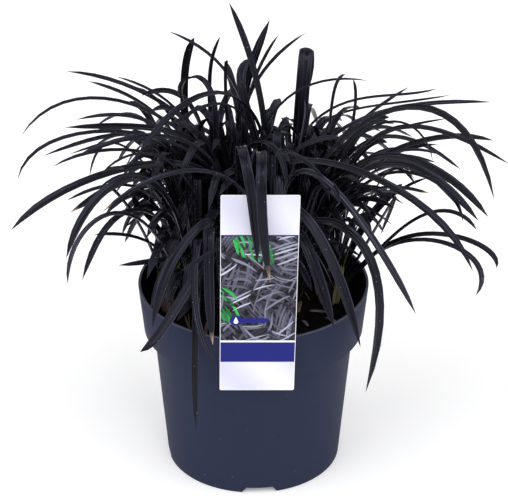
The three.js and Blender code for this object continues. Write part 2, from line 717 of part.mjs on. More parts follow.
function routeOf(numbers) {
  const points = [];
  for (let i = 0; i + 2 < numbers.length; i += 3) {
    points.push([numbers[i], numbers[i + 1], numbers[i + 2]]);
  }
  return points;
}

// A blade that would cross another piece is bent away from it, first backwards or forwards, then up,
// down and sideways, a little further at each try.
const BENDS = [[0, 0.87, -0.49], [0, -0.87, 0.49], [0, 0, 0.4], [0.4, 0, 0], [-0.4, 0, 0], [0, 0, -0.4]];
const BEND_STEP = 3;
const TIP_BEND = 0.5;                 // share of a bend that the tip follows
const LISTED_TRIES = 60;
const SEEDED_TRIES = 7;
const REDRAWS = 12;

function placeBlade(owner, route, width, twist, tries) {
  const { crown } = TUFTS[owner];
  const lowest = owner in SHEATHS ? SCALE_RING_HIGH : SOIL_HEIGHT + SOIL_BUMP;
  for (let attempt = 0; attempt < tries; attempt += 1) {
    const way = BENDS[attempt % BENDS.length];
    const size = attempt === 0 ? 0 : BEND_STEP * Math.ceil(attempt / BENDS.length);
    const bent = route.map((point, i) => {
      const follow = i === route.length - 1 ? TIP_BEND : 1;
      return i === 0 ? point : plus(point, way, size * follow);
    });
    const rows = sections(bent, width, twist, BLADE_STEPS, FACING_SHARE);
    const blocked = meetsHolder(rows, crown, crowns, lowest)
      || placed.some((other) => bladesMeet(rows, other.rows, other.owner === owner ? JOINED_STEPS : 0));
    if (!blocked) {
      placed.push({ owner, rows });
      return true;
    }
  }
  return false;
}

for (const [name, scales] of Object.entries(SHEATHS)) {
  const [x, y] = TUFTS[name].crown;
  for (const [heading, lean, height, width] of scales) {
    const angle = heading * Math.PI / 180;
    const out = [Math.cos(angle), Math.sin(angle)];
    const ring = CORE_RADIUS + GAP + SCALE_RING_WALL / 2;
    const bend = ring + SCALE_BEND_OUT * lean;
    const end = ring + lean;
    const route = [
      [x + out[0] * ring, y + out[1] * ring, (2 * SCALE_RING_LOW + SCALE_RING_HIGH) / 3],
      [x + out[0] * bend, y + out[1] * bend, SCALE_RING_LOW + SCALE_BEND_HEIGHT * height],
      [x + out[0] * end, y + out[1] * end, SCALE_RING_LOW + height],
    ];
    placed.push({ owner: `sheath_${name}`, rows: sections(route, width, 0, SCALE_STEPS, 0) });
  }
}

for (const [name, tuft] of Object.entries(TUFTS)) {
  for (const numbers of tuft.leaves) {
    const points = routeOf(numbers);
    const tip = points[points.length - 1];
    const route = [rootOf(tuft.crown, tip), ...points];
    const across = tip[0] - tuft.crown[0];
    const twist = -FRONT_TWIST * across / Math.hypot(across, tip[1] - tuft.crown[1]);
    placeBlade(name, route, numbers[numbers.length - 1], twist, LISTED_TRIES);
  }
}

// A seeded blade's draws: how far out its curve is pulled, how high, its width and its twist.
const BOW = [0.05, 0.45];
const LIFT = [0.75, 1.1];
const LIFT_LEAST = 90;
const LIFT_SHARE = 0.7;
const WIDTHS = [4, 6.2];
const TWISTS = [-0.6, 0.6];

function drawBlade(name, [middle, spread, near, far, low, high]) {
  const [x, y] = TUFTS[name].crown;
  const angle = (middle + draw(-spread, spread)) * Math.PI / 180;
  const out = draw(near, far);
  const bow = draw(...BOW);
  const lift = draw(...LIFT) * (LIFT_LEAST + LIFT_SHARE * far);
  const fall = Math.min(draw(low, high), lift);
  const width = draw(...WIDTHS);
  const twist = draw(...TWISTS);
  const pull = [x + bow * out * Math.cos(angle), y + bow * out * Math.sin(angle), SOIL_HEIGHT + lift];
  const tip = [x + out * Math.cos(angle), y + out * Math.sin(angle), SOIL_HEIGHT + fall];
  return placeBlade(name, [rootOf([x, y], tip), pull, tip], width, twist, SEEDED_TRIES);
}

// Each seeded blade is drawn again until it finds a clear way between the others.
for (const [name, tuft] of Object.entries(TUFTS)) {
  for (const [count, ...ranges] of tuft.fillers) {
    for (let i = 0; i < count; i += 1) {
      let found = false;
      for (let redraw = 0; redraw < REDRAWS && !found; redraw += 1) {
        found = drawBlade(name, ranges);
      }
    }
  }
}

// ---------- the assembly ----------
addPiece('pot', makePot(), POT_COLOUR, 0.6);
addPiece('soil', makeSoil(crowns), SOIL_COLOUR, 0.95);
addPiece('label', makeLabel(), LABEL_COLOUR, 0.35);

for (const name of Object.keys(SHEATHS)) {
  const [x, y] = TUFTS[name].crown;
  const inner = CORE_RADIUS + GAP;
  const ring = lathe([
    [inner, SCALE_RING_LOW],
    [inner + SCALE_RING_WALL, SCALE_RING_LOW],
    [inner + SCALE_RING_WALL, SCALE_RING_HIGH],
    [inner, SCALE_RING_HIGH],
    [inner, SCALE_RING_LOW],
  ], SCALE_RING_SIDES);
  ring.translate(x, y, 0);
  let sheath = toSolid(ring);
  for (const blade of placed.filter((one) => one.owner === `sheath_${name}`)) {
    sheath = sheath.add(bladeSolid(blade.rows));
  }
  addPiece(`sheath_${name}`, sheath, SCALE_COLOUR, 0.8);
}

for (const [name, tuft] of Object.entries(TUFTS)) {
  let solid = coreSolid(tuft.crown);
  for (const blade of placed.filter((one) => one.owner === name)) {
    solid = solid.add(bladeSolid(blade.rows));
  }
  addPiece(`tuft_${name}`, solid, LEAF_COLOUR, 0.45);
}

export default part;
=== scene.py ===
import math

import bmesh
import bpy
import numpy as np
from mathutils import Matrix, Vector, noise


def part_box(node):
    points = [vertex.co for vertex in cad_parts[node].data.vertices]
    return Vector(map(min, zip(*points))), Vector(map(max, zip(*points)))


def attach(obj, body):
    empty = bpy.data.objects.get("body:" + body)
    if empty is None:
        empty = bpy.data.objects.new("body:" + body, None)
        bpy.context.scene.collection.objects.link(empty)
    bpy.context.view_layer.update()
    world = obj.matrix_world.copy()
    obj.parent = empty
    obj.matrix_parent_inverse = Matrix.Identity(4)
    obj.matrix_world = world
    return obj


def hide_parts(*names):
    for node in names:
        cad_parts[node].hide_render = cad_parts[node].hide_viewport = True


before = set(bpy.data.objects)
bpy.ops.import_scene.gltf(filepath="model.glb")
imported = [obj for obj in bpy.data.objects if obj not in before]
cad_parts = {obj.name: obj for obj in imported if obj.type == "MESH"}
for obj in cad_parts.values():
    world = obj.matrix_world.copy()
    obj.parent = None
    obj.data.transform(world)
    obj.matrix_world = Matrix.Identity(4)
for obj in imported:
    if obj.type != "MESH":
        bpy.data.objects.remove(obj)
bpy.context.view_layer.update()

# ---- Nursery pot ------------------------------------------------------------------------------
# The pot is one thin piece of injection-moulded polypropylene with a tapered body, a collar that
# stiffens the rim, notches in its foot ring and drain holes in a raised floor. Its wall is spun
# from one profile, and the notches and holes are cut through it.
MM = 0.001
RIM_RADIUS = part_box("pot")[1].x
RIM_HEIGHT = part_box("pot")[1].z
WALL = 1.6 * MM
LIP_WIDTH = 2.1 * MM
COLLAR_LOW = RIM_HEIGHT - 37.5 * MM
COLLAR_LOW_RADIUS = RIM_RADIUS - 3.9 * MM
BODY_TOP_RADIUS = RIM_RADIUS - 11 * MM
FOOT_RADIUS = RIM_RADIUS - 20.8 * MM
COLLAR_RISE = RIM_HEIGHT - COLLAR_LOW
BODY_FLARE = BODY_TOP_RADIUS - FOOT_RADIUS
FLOOR_RISE = 5 * MM
FOOT_PAD_RADIUS = 18 * MM
FOOT_PAD_SLOPE = 1 * MM
FOOT_BAND = 8 * MM
EDGE_ROUND = 0.35 * MM
POT_TURNS = 160
NOTCHES = 4
NOTCH_WIDE = 28 * MM
NOTCH_NARROW = 20 * MM
NOTCH_HEIGHT = 4.5 * MM
NOTCH_BELOW = 1 * MM
NOTCH_REACH = 8 * MM
NOTCH_TURN = 0.07
DRAINS = 8
DRAIN_RADIUS = 5 * MM
DRAIN_CIRCLE = 46 * MM
DRAIN_SIDES = 32
FACING_IN = 0.5
MERGE = 1e-6


def pot_wall(height):
    """The outside radius of the pot at a height, or at each of an array of heights."""
    collar = COLLAR_LOW_RADIUS + (RIM_RADIUS - COLLAR_LOW_RADIUS) * (height - COLLAR_LOW) / COLLAR_RISE
    body = FOOT_RADIUS + BODY_FLARE * height / COLLAR_LOW
    return np.where(height > COLLAR_LOW, collar, body)[()]


def spun(outline, turns, rounding):
    """A closed solid of revolution whose outline runs from the axis back to the axis."""
    shape = bmesh.new()
    verts = [shape.verts.new((radius, 0, height)) for radius, height in outline]
    edges = [shape.edges.new(pair) for pair in zip(verts, verts[1:])]
    if rounding:
        bmesh.ops.bevel(shape, geom=verts[1:-1] + edges, offset=rounding, segments=2, profile=0.5,
                        affect="VERTICES", material=-1)
    bmesh.ops.spin(shape, geom=shape.verts[:] + shape.edges[:], cent=(0, 0, 0), axis=(0, 0, 1),
                   angle=2 * math.pi, steps=turns, use_merge=True, use_duplicate=False)
    bmesh.ops.remove_doubles(shape, verts=shape.verts[:], dist=MERGE)
    bmesh.ops.recalc_face_normals(shape, faces=shape.faces[:])
    return shape


def stand(name, data):
    """Stands a mesh, a light or a camera in the scene as an object of that name."""
    made = bpy.data.objects.new(name, data)
    bpy.context.scene.collection.objects.link(made)
    return made


def piece(name, shape, *materials, crease=40):
    """Makes a named object from a finished shape, smooth except at edges sharper than the crease."""
    mesh = bpy.data.meshes.new(name)
    shape.to_mesh(mesh)
    shape.free()
    for face in mesh.polygons:
        face.use_smooth = True
    mesh.set_sharp_from_angle(angle=math.radians(crease))
    for one in materials:
        mesh.materials.append(one)
    return stand(name, mesh)


def cut_away(made, cutters):
    """Cuts the cutters out of a piece, and keeps the result in the piece's own mesh."""
    tool = piece(made.name + "_cutter", cutters)
    cut = made.modifiers.new("cut", "BOOLEAN")
    cut.operation = "DIFFERENCE"
    cut.solver = "EXACT"
    cut.use_self = True
    cut.object = tool
    result = bpy.data.meshes.new_from_object(made.evaluated_get(bpy.context.evaluated_depsgraph_get()))
    made.modifiers.clear()
    made.data = result
    bpy.data.objects.remove(tool)


def linear(code):
    """An sRGB hex colour as the linear values that a shader takes."""
    shares = [int(code[i:i + 2], 16) / 255 for i in (1, 3, 5)]
    return (*[c / 12.92 if c <= 0.04045 else ((c + 0.055) / 1.055) ** 2.4 for c in shares], 1.0)


def finish_of(name):
    """An empty node material of that name."""
    made = bpy.data.materials.new(name)
    made.use_nodes = True
    made.node_tree.nodes.clear()
    return made


def add(owner, kind, inputs=None, **settings):
    """Adds one node with its settings. Each input takes a value, or a link from a socket or a node."""
    node = owner.node_tree.nodes.new("ShaderNode" + kind)
    for key, value in settings.items():
        setattr(node, key, value)
    for key, value in (inputs or {}).items():
        if isinstance(value, bpy.types.Node):
            value = next(socket for socket in value.outputs if socket.enabled)
        if isinstance(value, bpy.types.NodeSocket):
            owner.node_tree.links.new(value, node.inputs[key])
        else:
            node.inputs[key].default_value = value
    return node


# Polypropylene, coloured slate blue in the mass and moulded in a fine-grained tool: matt, with a dull
# sheen at grazing angles. Handling has left a few faint scuffs and specks of pale dust on it. The top of
# the rim is painted paler, as a painted highlight along the lip.
POT_BLUE = linear("#2a2f44")
POT_BLUE_DEEP = linear("#272b3f")
POT_RIM_HIGHLIGHT = linear("#666879")
# Pale blue-grey of the painted highlight on the top of the rim.
POT_DUST = linear("#8f8f98")
MOULD_GRAIN = 0.5 * MM
DUST_SPACING = 13 * MM
SHADE_PATCH = 55 * MM
SCUFF_WIDTH = 2.5 * MM
# The band under the rim's top that carries the painted highlight.
RIM_HIGHLIGHT_BAND = (0.7 * MM, 0.2 * MM)

plastic = finish_of("moulded slate-blue polypropylene")
place = add(plastic, "TexCoord").outputs["Object"]
cloud = add(plastic, "TexNoise", {"Scale": 1 / SHADE_PATCH, "Detail": 3.0, "Vector": place})
tint = add(plastic, "Mix", {0: cloud, 6: POT_BLUE_DEEP, 7: POT_BLUE}, data_type="RGBA")
streaked = add(plastic, "Mapping", {"Scale": (1.0, 1.0, 0.35), "Vector": place})
scuffs = add(plastic, "TexNoise", {"Scale": 1 / SCUFF_WIDTH, "Detail": 2.0, "Vector": streaked})
scuffed = add(plastic, "MapRange", {"From Min": 0.7, "From Max": 0.86, "To Max": 0.08, "Value": scuffs})
specks = add(plastic, "TexVoronoi", {"Scale": 1 / DUST_SPACING, "Vector": place})
speck = add(plastic, "MapRange", {"From Min": 0.036, "From Max": 0.022, "To Max": 0.7, "Value": specks})
marks = add(plastic, "Math", {0: scuffed, 1: speck}, operation="MAXIMUM")
height = add(plastic, "SeparateXYZ", {"Vector": place}).outputs["Z"]
# Painted highlight: the top of the rim is painted paler in a thin band.
rim_highlight = add(plastic, "MapRange", {"From Min": RIM_HEIGHT - RIM_HIGHLIGHT_BAND[0], "To Max": 0.6,
                                   "From Max": RIM_HEIGHT - RIM_HIGHLIGHT_BAND[1], "Value": height})
with_rim_highlight = add(plastic, "Mix", {0: rim_highlight, 6: tint, 7: POT_RIM_HIGHLIGHT}, data_type="RGBA")
colour = add(plastic, "Mix", {0: marks, 6: with_rim_highlight, 7: POT_DUST}, data_type="RGBA")
grain = add(plastic, "TexNoise", {"Scale": 1 / MOULD_GRAIN, "Detail": 2.0, "Vector": place})
relief = add(plastic, "Bump", {"Strength": 0.25, "Distance": 0.1 * MM, "Height": grain})
gloss = add(plastic, "MapRange", {"To Min": 0.5, "To Max": 0.7, "Value": cloud})
skin = add(plastic, "BsdfPrincipled", {"IOR": 1.49, "Specular IOR Level": 0.06, "Base Color": colour,
                                       "Roughness": gloss, "Normal": relief})
add(plastic, "OutputMaterial", {"Surface": skin})

# The same plastic inside the pot, with painted shade: nearly black and dull, with the blue only in a
# ragged line under the rim, where the painted shade stops.
SHADE_LINE_DEPTH = 3 * MM
SHADE_LINE_RAGGED = 5 * MM
SHADE_MOTTLE_SIZE = 4 * MM

shaded_inside = finish_of("inner wall with painted shade")
place = add(shaded_inside, "TexCoord").outputs["Object"]
# A mottle for the painted shade and for the ragged edge of its line.
crumbs = add(shaded_inside, "TexNoise", {"Scale": 1 / SHADE_MOTTLE_SIZE, "Detail": 4.0, "Vector": place})
height = add(shaded_inside, "SeparateXYZ", {"Vector": place}).outputs["Z"]
line = add(shaded_inside, "Math", {0: crumbs, 1: SHADE_LINE_RAGGED, 2: height}, operation="MULTIPLY_ADD")
# The blue shows only in a ragged band under the rim; below it the wall is painted near black as shade.
unshaded_band = add(shaded_inside, "MapRange", {"From Min": RIM_HEIGHT - SHADE_LINE_DEPTH + SHADE_LINE_RAGGED / 2,
                                  "From Max": RIM_HEIGHT + SHADE_LINE_RAGGED / 2, "Value": line})
# The near-black mottle of the painted shade inside the pot.
damp = add(shaded_inside, "Mix", {0: crumbs, 6: linear("#0b0b0c"), 7: linear("#19171a")}, data_type="RGBA")
colour = add(shaded_inside, "Mix", {0: unshaded_band, 6: damp, 7: POT_BLUE_DEEP}, data_type="RGBA")
skin = add(shaded_inside, "BsdfPrincipled", {"Roughness": 0.85, "IOR": 1.45, "Specular IOR Level": 0.15,
                                       "Base Color": colour})
add(shaded_inside, "OutputMaterial", {"Surface": skin})

floor_top = FLOOR_RISE + WALL
lip_low = RIM_HEIGHT - LIP_WIDTH
pot_outline = [
    (0, 0),
    (FOOT_PAD_RADIUS, 0),
    (FOOT_PAD_RADIUS + FOOT_PAD_SLOPE, FLOOR_RISE),
    (FOOT_RADIUS - WALL, FLOOR_RISE),
    (FOOT_RADIUS - WALL, 0),
    (FOOT_RADIUS, 0),
    (pot_wall(FOOT_BAND), FOOT_BAND),
    (BODY_TOP_RADIUS, COLLAR_LOW),
    (COLLAR_LOW_RADIUS, COLLAR_LOW),
    (RIM_RADIUS, RIM_HEIGHT),
    (RIM_RADIUS - LIP_WIDTH, RIM_HEIGHT),
    (pot_wall(lip_low) - WALL, lip_low),
    (COLLAR_LOW_RADIUS - WALL, COLLAR_LOW + WALL),
    (BODY_TOP_RADIUS - WALL, COLLAR_LOW + WALL),
    (pot_wall(floor_top) - WALL, floor_top),
    (0, floor_top),
]
pot = piece("nursery_pot", spun(pot_outline, POT_TURNS, EDGE_ROUND), plastic, shaded_inside)

cutters = bmesh.new()
for i in range(NOTCHES):
    # A block that is wider at its foot cuts a notch through the wall.
    made = bmesh.ops.create_cube(cutters, size=1)["verts"]
    for vert in made:
        width = NOTCH_NARROW if vert.co.z > 0 else NOTCH_WIDE
        height = NOTCH_HEIGHT if vert.co.z > 0 else -NOTCH_BELOW
        vert.co = (vert.co.x * width, 2 * vert.co.y * NOTCH_REACH - FOOT_RADIUS, height)
    bmesh.ops.rotate(cutters, verts=made, cent=(0, 0, 0),
                     matrix=Matrix.Rotation(NOTCH_TURN + i * 2 * math.pi / NOTCHES, 3, "Z"))
for i in range(DRAINS):
    turn = (i + 0.5) * 2 * math.pi / DRAINS
    spot = Vector((DRAIN_CIRCLE * math.cos(turn), DRAIN_CIRCLE * math.sin(turn), FLOOR_RISE + WALL / 2))
    bmesh.ops.create_cone(cutters, cap_ends=True, segments=DRAIN_SIDES, radius1=DRAIN_RADIUS,
                          radius2=DRAIN_RADIUS, depth=4 * WALL, matrix=Matrix.Translation(spot))
cut_away(pot, cutters)
# The inner faces above the floor take the finish with painted shade.
for face in pot.data.polygons:
    spot = face.center
    inward = face.normal.xy.dot(spot.xy) < -FACING_IN * spot.xy.length
    if inward and spot.z > floor_top:
        face.material_index = 1
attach(pot, "root")
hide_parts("pot")

# ---- Peat soil --------------------------------------------------------------------------------
# Dark peat fills the pot to about 30 mm below its rim. It is one body, filled in and pressed down
# round the crowns, with an uneven surface on which loose crumbs lie.
SOIL_LEVEL = 117 * MM
SOIL_GAP = 0.7 * MM
SOIL_LIFT = 0.3 * MM
SOIL_BUMP = 2.2 * MM
SOIL_BROAD_WAVE = 8.5 * MM
SOIL_SHORT_WAVE = 3.3 * MM
SOIL_RINGS = 48
SOIL_TURNS = 150
CLOD_SIZE = 5 * MM
CLOD_HEIGHT = 1.3 * MM
CLOD_FINER = 2.7
CRUMBS = 1300
CRUMB_SIZES = (0.5 * MM, 1.7 * MM)
# A crumb's size, breadth and height are each shrunk by a share between these.
CRUMB_SHARES = ((0.6, 1), (0.6, 0.9), (0.4, 0.8))
CRUMB_LIFT = 0.2
CRUMB_TILTS = (-0.6, 0.6)
SERIES_STEP = 48271
SERIES_END = 2147483647
state = 29


def draw(low, high):
    """The next number of a fixed random series."""
    global state
    state = state * SERIES_STEP % SERIES_END
    return low + (high - low) * state / SERIES_END


def soil_height(x, y):
    """The height of the soil's uneven surface."""
    broad = math.sin(x / SOIL_BROAD_WAVE) * math.cos(y / SOIL_BROAD_WAVE)
    short = math.sin((x - y / 2) / SOIL_SHORT_WAVE) * math.cos(y / SOIL_SHORT_WAVE)
    spot = Vector((x, y, 0))
    clods = noise.noise(spot / CLOD_SIZE) + 0.5 * noise.noise(spot * CLOD_FINER / CLOD_SIZE)
    return SOIL_LEVEL + SOIL_BUMP * (2 * broad + short) / 3 + CLOD_HEIGHT * clods


# Milled sphagnum peat with bark fines: near black while damp, dull, and full of short brown fibres.
PEAT = linear("#0a0909")
PEAT_DRY = linear("#1a1512")
PEAT_FIBRE = linear("#3a2c22")
FIBRE_WIDTH = 0.6 * MM
DAMP_PATCH = 14 * MM
PEAT_GRAIN = 0.9 * MM

peat = finish_of("damp milled peat")
place = add(peat, "TexCoord").outputs["Object"]
damp = add(peat, "TexNoise", {"Scale": 1 / DAMP_PATCH, "Detail": 4.0, "Vector": place})
dry = add(peat, "MapRange", {"From Min": 0.5, "From Max": 0.8, "Value": damp})
earth = add(peat, "Mix", {0: dry, 6: PEAT, 7: PEAT_DRY}, data_type="RGBA")
combed = add(peat, "Mapping", {"Scale": (1.0, 0.15, 1.0), "Rotation": (0.0, 0.0, 0.7), "Vector": place})
fibres = add(peat, "TexNoise", {"Scale": 1 / FIBRE_WIDTH, "Detail": 1.0, "Vector": combed})
fibre = add(peat, "MapRange", {"From Min": 0.68, "From Max": 0.8, "Value": fibres})
colour = add(peat, "Mix", {0: fibre, 6: earth, 7: PEAT_FIBRE}, data_type="RGBA")
rough = add(peat, "TexNoise", {"Scale": 1 / PEAT_GRAIN, "Detail": 5.0, "Vector": place})
relief = add(peat, "Bump", {"Strength": 0.9, "Distance": 0.5 * MM, "Height": rough})
skin = add(peat, "BsdfPrincipled", {"Roughness": 0.93, "IOR": 1.4, "Specular IOR Level": 0.2,
                                    "Base Color": colour, "Normal": relief})
add(peat, "OutputMaterial", {"Surface": skin})

soil_foot = floor_top + SOIL_LIFT
soil_ledge = COLLAR_LOW + WALL + SOIL_LIFT
soil_edge = pot_wall(SOIL_LEVEL) - WALL - SOIL_GAP
soil_outline = [
    (0, soil_foot),
    (pot_wall(soil_foot) - WALL - SOIL_GAP, soil_foot),
    (BODY_TOP_RADIUS - WALL - SOIL_GAP, soil_ledge),
    (pot_wall(soil_ledge) - WALL - SOIL_GAP, soil_ledge),
] + [(soil_edge * (1 - ring / SOIL_RINGS), SOIL_LEVEL) for ring in range(SOIL_RINGS + 1)]
shape = spun(soil_outline, SOIL_TURNS, 0)
for vert in shape.verts:
    if vert.co.z > SOIL_LEVEL - MERGE:
        vert.co.z = soil_height(vert.co.x, vert.co.y)
for crumb in range(CRUMBS):
    turn = draw(0, 2 * math.pi)
    out = (soil_edge - CRUMB_SIZES[1]) * math.sqrt(draw(0, 1))
    size = draw(*CRUMB_SIZES) * draw(*CRUMB_SHARES[0])
    x, y = out * math.cos(turn), out * math.sin(turn)
    spot = Matrix.Translation((x, y, soil_height(x, y) + CRUMB_LIFT * size))
    lie = Matrix.Rotation(draw(0, math.pi), 4, "Z") @ Matrix.Rotation(draw(*CRUMB_TILTS), 4, "X")
    lump = Matrix.Diagonal((size, size * draw(*CRUMB_SHARES[1]), size * draw(*CRUMB_SHARES[2]), 1))
    bmesh.ops.create_icosphere(shape, subdivisions=1, radius=1, matrix=spot @ lie @ lump)
soil = piece("peat_soil", shape, peat, crease=60)
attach(soil, "root")
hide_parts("soil")

# ---- Plant label ------------------------------------------------------------------------------
# A stiff white polypropylene tag, printed on its front, leans on the rim and hangs there by a tongue
# that is folded back over it. Its plate is one sheet, and the print is a film of ink on its face.
GAP = 0.3 * MM
LABEL_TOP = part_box("label")[1].z
LABEL_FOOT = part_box("label")[0].z
LABEL_TOP_WIDTH = 56 * MM
LABEL_FOOT_WIDTH = 54.2 * MM
LABEL_TOP_CENTRE = 5 * MM
LABEL_FOOT_CENTRE = 2.4 * MM
LABEL_THICKNESS = 0.8 * MM
LABEL_LEAN = 0.012
LABEL_CORNER = 1.2 * MM
TONGUE_WIDTH = 30 * MM
TONGUE_DROP = 24 * MM
HEADER_LOW = 235.2 * MM
PICTURE_HIGH = 234.2 * MM
PICTURE_LOW = 147.6 * MM
BAND_HIGH = 146 * MM
BAND_LOW = 129.3 * MM
PICTURE_MARGIN = 0.4 * MM
BADGE_RADIUS = 4.4 * MM
BADGE_SPOT = (-12.6 * MM, 164.5 * MM)
PILL_LENGTH = 21.5 * MM
PILL_HEIGHT = 3.8 * MM
DROP_RADIUS = 0.38 * BADGE_RADIUS
DROP_LOW = 0.25 * BADGE_RADIUS
DROP_TIP = 0.72 * BADGE_RADIUS
DROP_ARC = (math.radians(155), math.radians(385))
INK = 0.05 * MM
FACING_FRONT = 0.9


def label_face(z):
    """The place of the label's back along Y at a height: it leans on the rim's outer edge."""
    return -(RIM_RADIUS + GAP) - LABEL_LEAN * (z - RIM_HEIGHT)


def mottled(name, dark, light, patch, detail, looks, relief=0):
    """A finish of two tones in soft patches, which also raise it where it has relief."""
    made = finish_of(name)
    place = add(made, "TexCoord").outputs["Object"]
    mottle = add(made, "TexNoise", {"Scale": 1 / patch, "Detail": detail, "Vector": place})
    tint = add(made, "Mix", {0: mottle, 6: linear(dark), 7: linear(light)}, data_type="RGBA")
    skin = add(made, "BsdfPrincipled", {**looks, "Base Color": tint})
    if relief:
        bump = add(made, "Bump", {"Strength": 0.6, "Distance": relief, "Height": mottle})
        made.node_tree.links.new(bump.outputs["Normal"], skin.inputs["Normal"])
    add(made, "OutputMaterial", {"Surface": skin})
    return made


# White polypropylene sheet with a satin varnish: bright and even, with soft reflections.
VARNISH = {"Roughness": 0.32, "IOR": 1.49, "Specular IOR Level": 0.16, "Coat Weight": 0.04,
           "Coat Roughness": 0.2}
card = mottled("satin white polypropylene sheet", "#ededf6", "#f4f4fb", 40 * MM, 1.0, VARNISH)

# Pale lavender ink on the header and the foot. The sheet bends a little, which shades it in soft slanting
# bands. They are drawn in the ink, because the sheet's own bend is too slight to show.
BEND_SPACING = 46 * MM

pale_ink = finish_of("pale lavender offset ink")
place = add(pale_ink, "TexCoord").outputs["Object"]
slant = add(pale_ink, "Mapping", {"Rotation": (0.0, 0.75, 0.0), "Vector": place})
bends = add(pale_ink, "TexWave", {"Scale": 0.31 / BEND_SPACING, "Distortion": 1.2, "Detail": 0.0,
                                  "Vector": slant}, bands_direction="X")
tint = add(pale_ink, "Mix", {0: bends.outputs["Fac"], 6: linear("#e3e3f1"), 7: linear("#cfcfe1")},
           data_type="RGBA")
skin = add(pale_ink, "BsdfPrincipled", {**VARNISH, "Base Color": tint})
add(pale_ink, "OutputMaterial", {"Surface": skin})

# Offset ink under the same varnish: an even navy with the fine mottle of its screen.
navy_ink = mottled("navy offset ink", "#171c6e", "#1d2378", 1.2 * MM, 2.0, VARNISH)

# The picture field is a plain printed pattern: long brush strokes in dim violet, grey and pale silver that
# bend and lie across each other over near black, with a few green ones. Every stroke is a stretched cell.
STROKE_LENGTH = 24 * MM
STROKE_BEND = 18 * MM
BEND_PATCH = 30 * MM
GREEN_PATCH = 20 * MM
# Slant in radians, shift, stroke width, darkest and lightest ink, and the share of strokes left out.
STROKES = [
    (1.3, 0.13, 3.6 * MM, "#121117", "#312e3b", 0.0),
    (-0.9, 0.31, 3.4 * MM, "#15141b", "#444252", 0.15),
    (0.75, 0.77, 3.0 * MM, "#19181f", "#5b596f", 0.3),
    (-0.4, 0.52, 2.6 * MM, "#1c1b23", "#77778e", 0.45),
    (1.0, 0.41, 2.4 * MM, "#24222d", "#9091a8", 0.55),
    (-1.2, 0.24, 2.0 * MM, "#383642", "#c6c7de", 0.72),
]
GREEN_STROKES = (0.35, 0.2, 2.6 * MM, "#14552a", "#35c05a")

printed = finish_of("printed brush-stroke pattern")
place = add(printed, "TexCoord").outputs["Object"]
sway = add(printed, "TexNoise", {"Scale": 1 / BEND_PATCH, "Detail": 0.0, "Vector": place})
bent = add(printed, "VectorMath", {0: sway.outputs["Color"], 1: (STROKE_BEND, 0, STROKE_BEND), 2: place},
           operation="MULTIPLY_ADD")
spot = add(printed, "SeparateXYZ", {"Vector": bent}).outputs
flat = add(printed, "CombineXYZ", {"X": spot["X"], "Y": spot["Z"]})


def strokes(slant, shift, width, dark, light):
    """Long narrow strokes at a slant: their mask, a chance number for each stroke, and its ink."""
    drawn = add(printed, "Mapping", {"Rotation": (0.0, 0.0, slant), "Location": (shift, shift, 0.0),
                                     "Scale": (width, STROKE_LENGTH, 1.0), "Vector": flat},
                vector_type="TEXTURE")
    cells = add(printed, "TexVoronoi", {"Scale": 1.0, "Vector": drawn}, voronoi_dimensions="2D")
    mask = add(printed, "MapRange", {"From Min": 0.39, "From Max": 0.33, "Value": cells})
    chance = add(printed, "SeparateColor", {"Color": cells.outputs["Color"]}).outputs
    ink = add(printed, "Mix", {0: chance["Red"], 6: linear(dark), 7: linear(light)}, data_type="RGBA")
    return mask, chance["Green"], ink


colour = linear("#0e0d10")
for *stroke, left_out in STROKES:
    mask, chance, ink = strokes(*stroke)
    kept = add(printed, "Math", {0: chance, 1: left_out}, operation="GREATER_THAN")
    shown = add(printed, "Math", {0: mask, 1: kept}, operation="MULTIPLY")
    colour = add(printed, "Mix", {0: shown, 6: colour, 7: ink}, data_type="RGBA")
patch = add(printed, "TexNoise", {"Scale": 1 / GREEN_PATCH, "Detail": 0.0, "Vector": place})
grown = add(printed, "MapRange", {"From Min": 0.6, "From Max": 0.63, "To Max": 0.9, "Value": patch})
mask, chance, ink = strokes(*GREEN_STROKES)
green = add(printed, "Math", {0: grown, 1: mask}, operation="MULTIPLY")
colour = add(printed, "Mix", {0: green, 6: colour, 7: ink}, data_type="RGBA")
skin = add(printed, "BsdfPrincipled", {**VARNISH, "Base Color": colour})
add(printed, "OutputMaterial", {"Surface": skin})


def pushed(shape, faces, way):
    """Pushes faces of a shape out into a solid, that far and in that direction."""
    pulled = bmesh.ops.extrude_face_region(shape, geom=faces)["geom"]
    moved = [part for part in pulled if isinstance(part, bmesh.types.BMVert)]
    bmesh.ops.translate(shape, verts=moved, vec=way)


def split(shape, spot, across):
    """Cuts the faces of a shape along a plane through a spot, and keeps both sides."""
    bmesh.ops.bisect_plane(shape, geom=shape.verts[:] + shape.edges[:] + shape.faces[:], dist=1e-7,
                           plane_co=spot, plane_no=across)


shape = bmesh.new()
corners = [
    (LABEL_FOOT_CENTRE - LABEL_FOOT_WIDTH / 2, LABEL_FOOT),
    (LABEL_FOOT_CENTRE + LABEL_FOOT_WIDTH / 2, LABEL_FOOT),
    (LABEL_TOP_CENTRE + LABEL_TOP_WIDTH / 2, LABEL_TOP),
    (LABEL_TOP_CENTRE - LABEL_TOP_WIDTH / 2, LABEL_TOP),
]
shape.faces.new([shape.verts.new((x, 0, z)) for x, z in corners])
bmesh.ops.bevel(shape, geom=shape.verts[:], offset=LABEL_CORNER, segments=4, profile=0.5,
                affect="VERTICES", material=-1)
pushed(shape, shape.faces[:], (0, -LABEL_THICKNESS, 0))
bmesh.ops.recalc_face_normals(shape, faces=shape.faces[:])
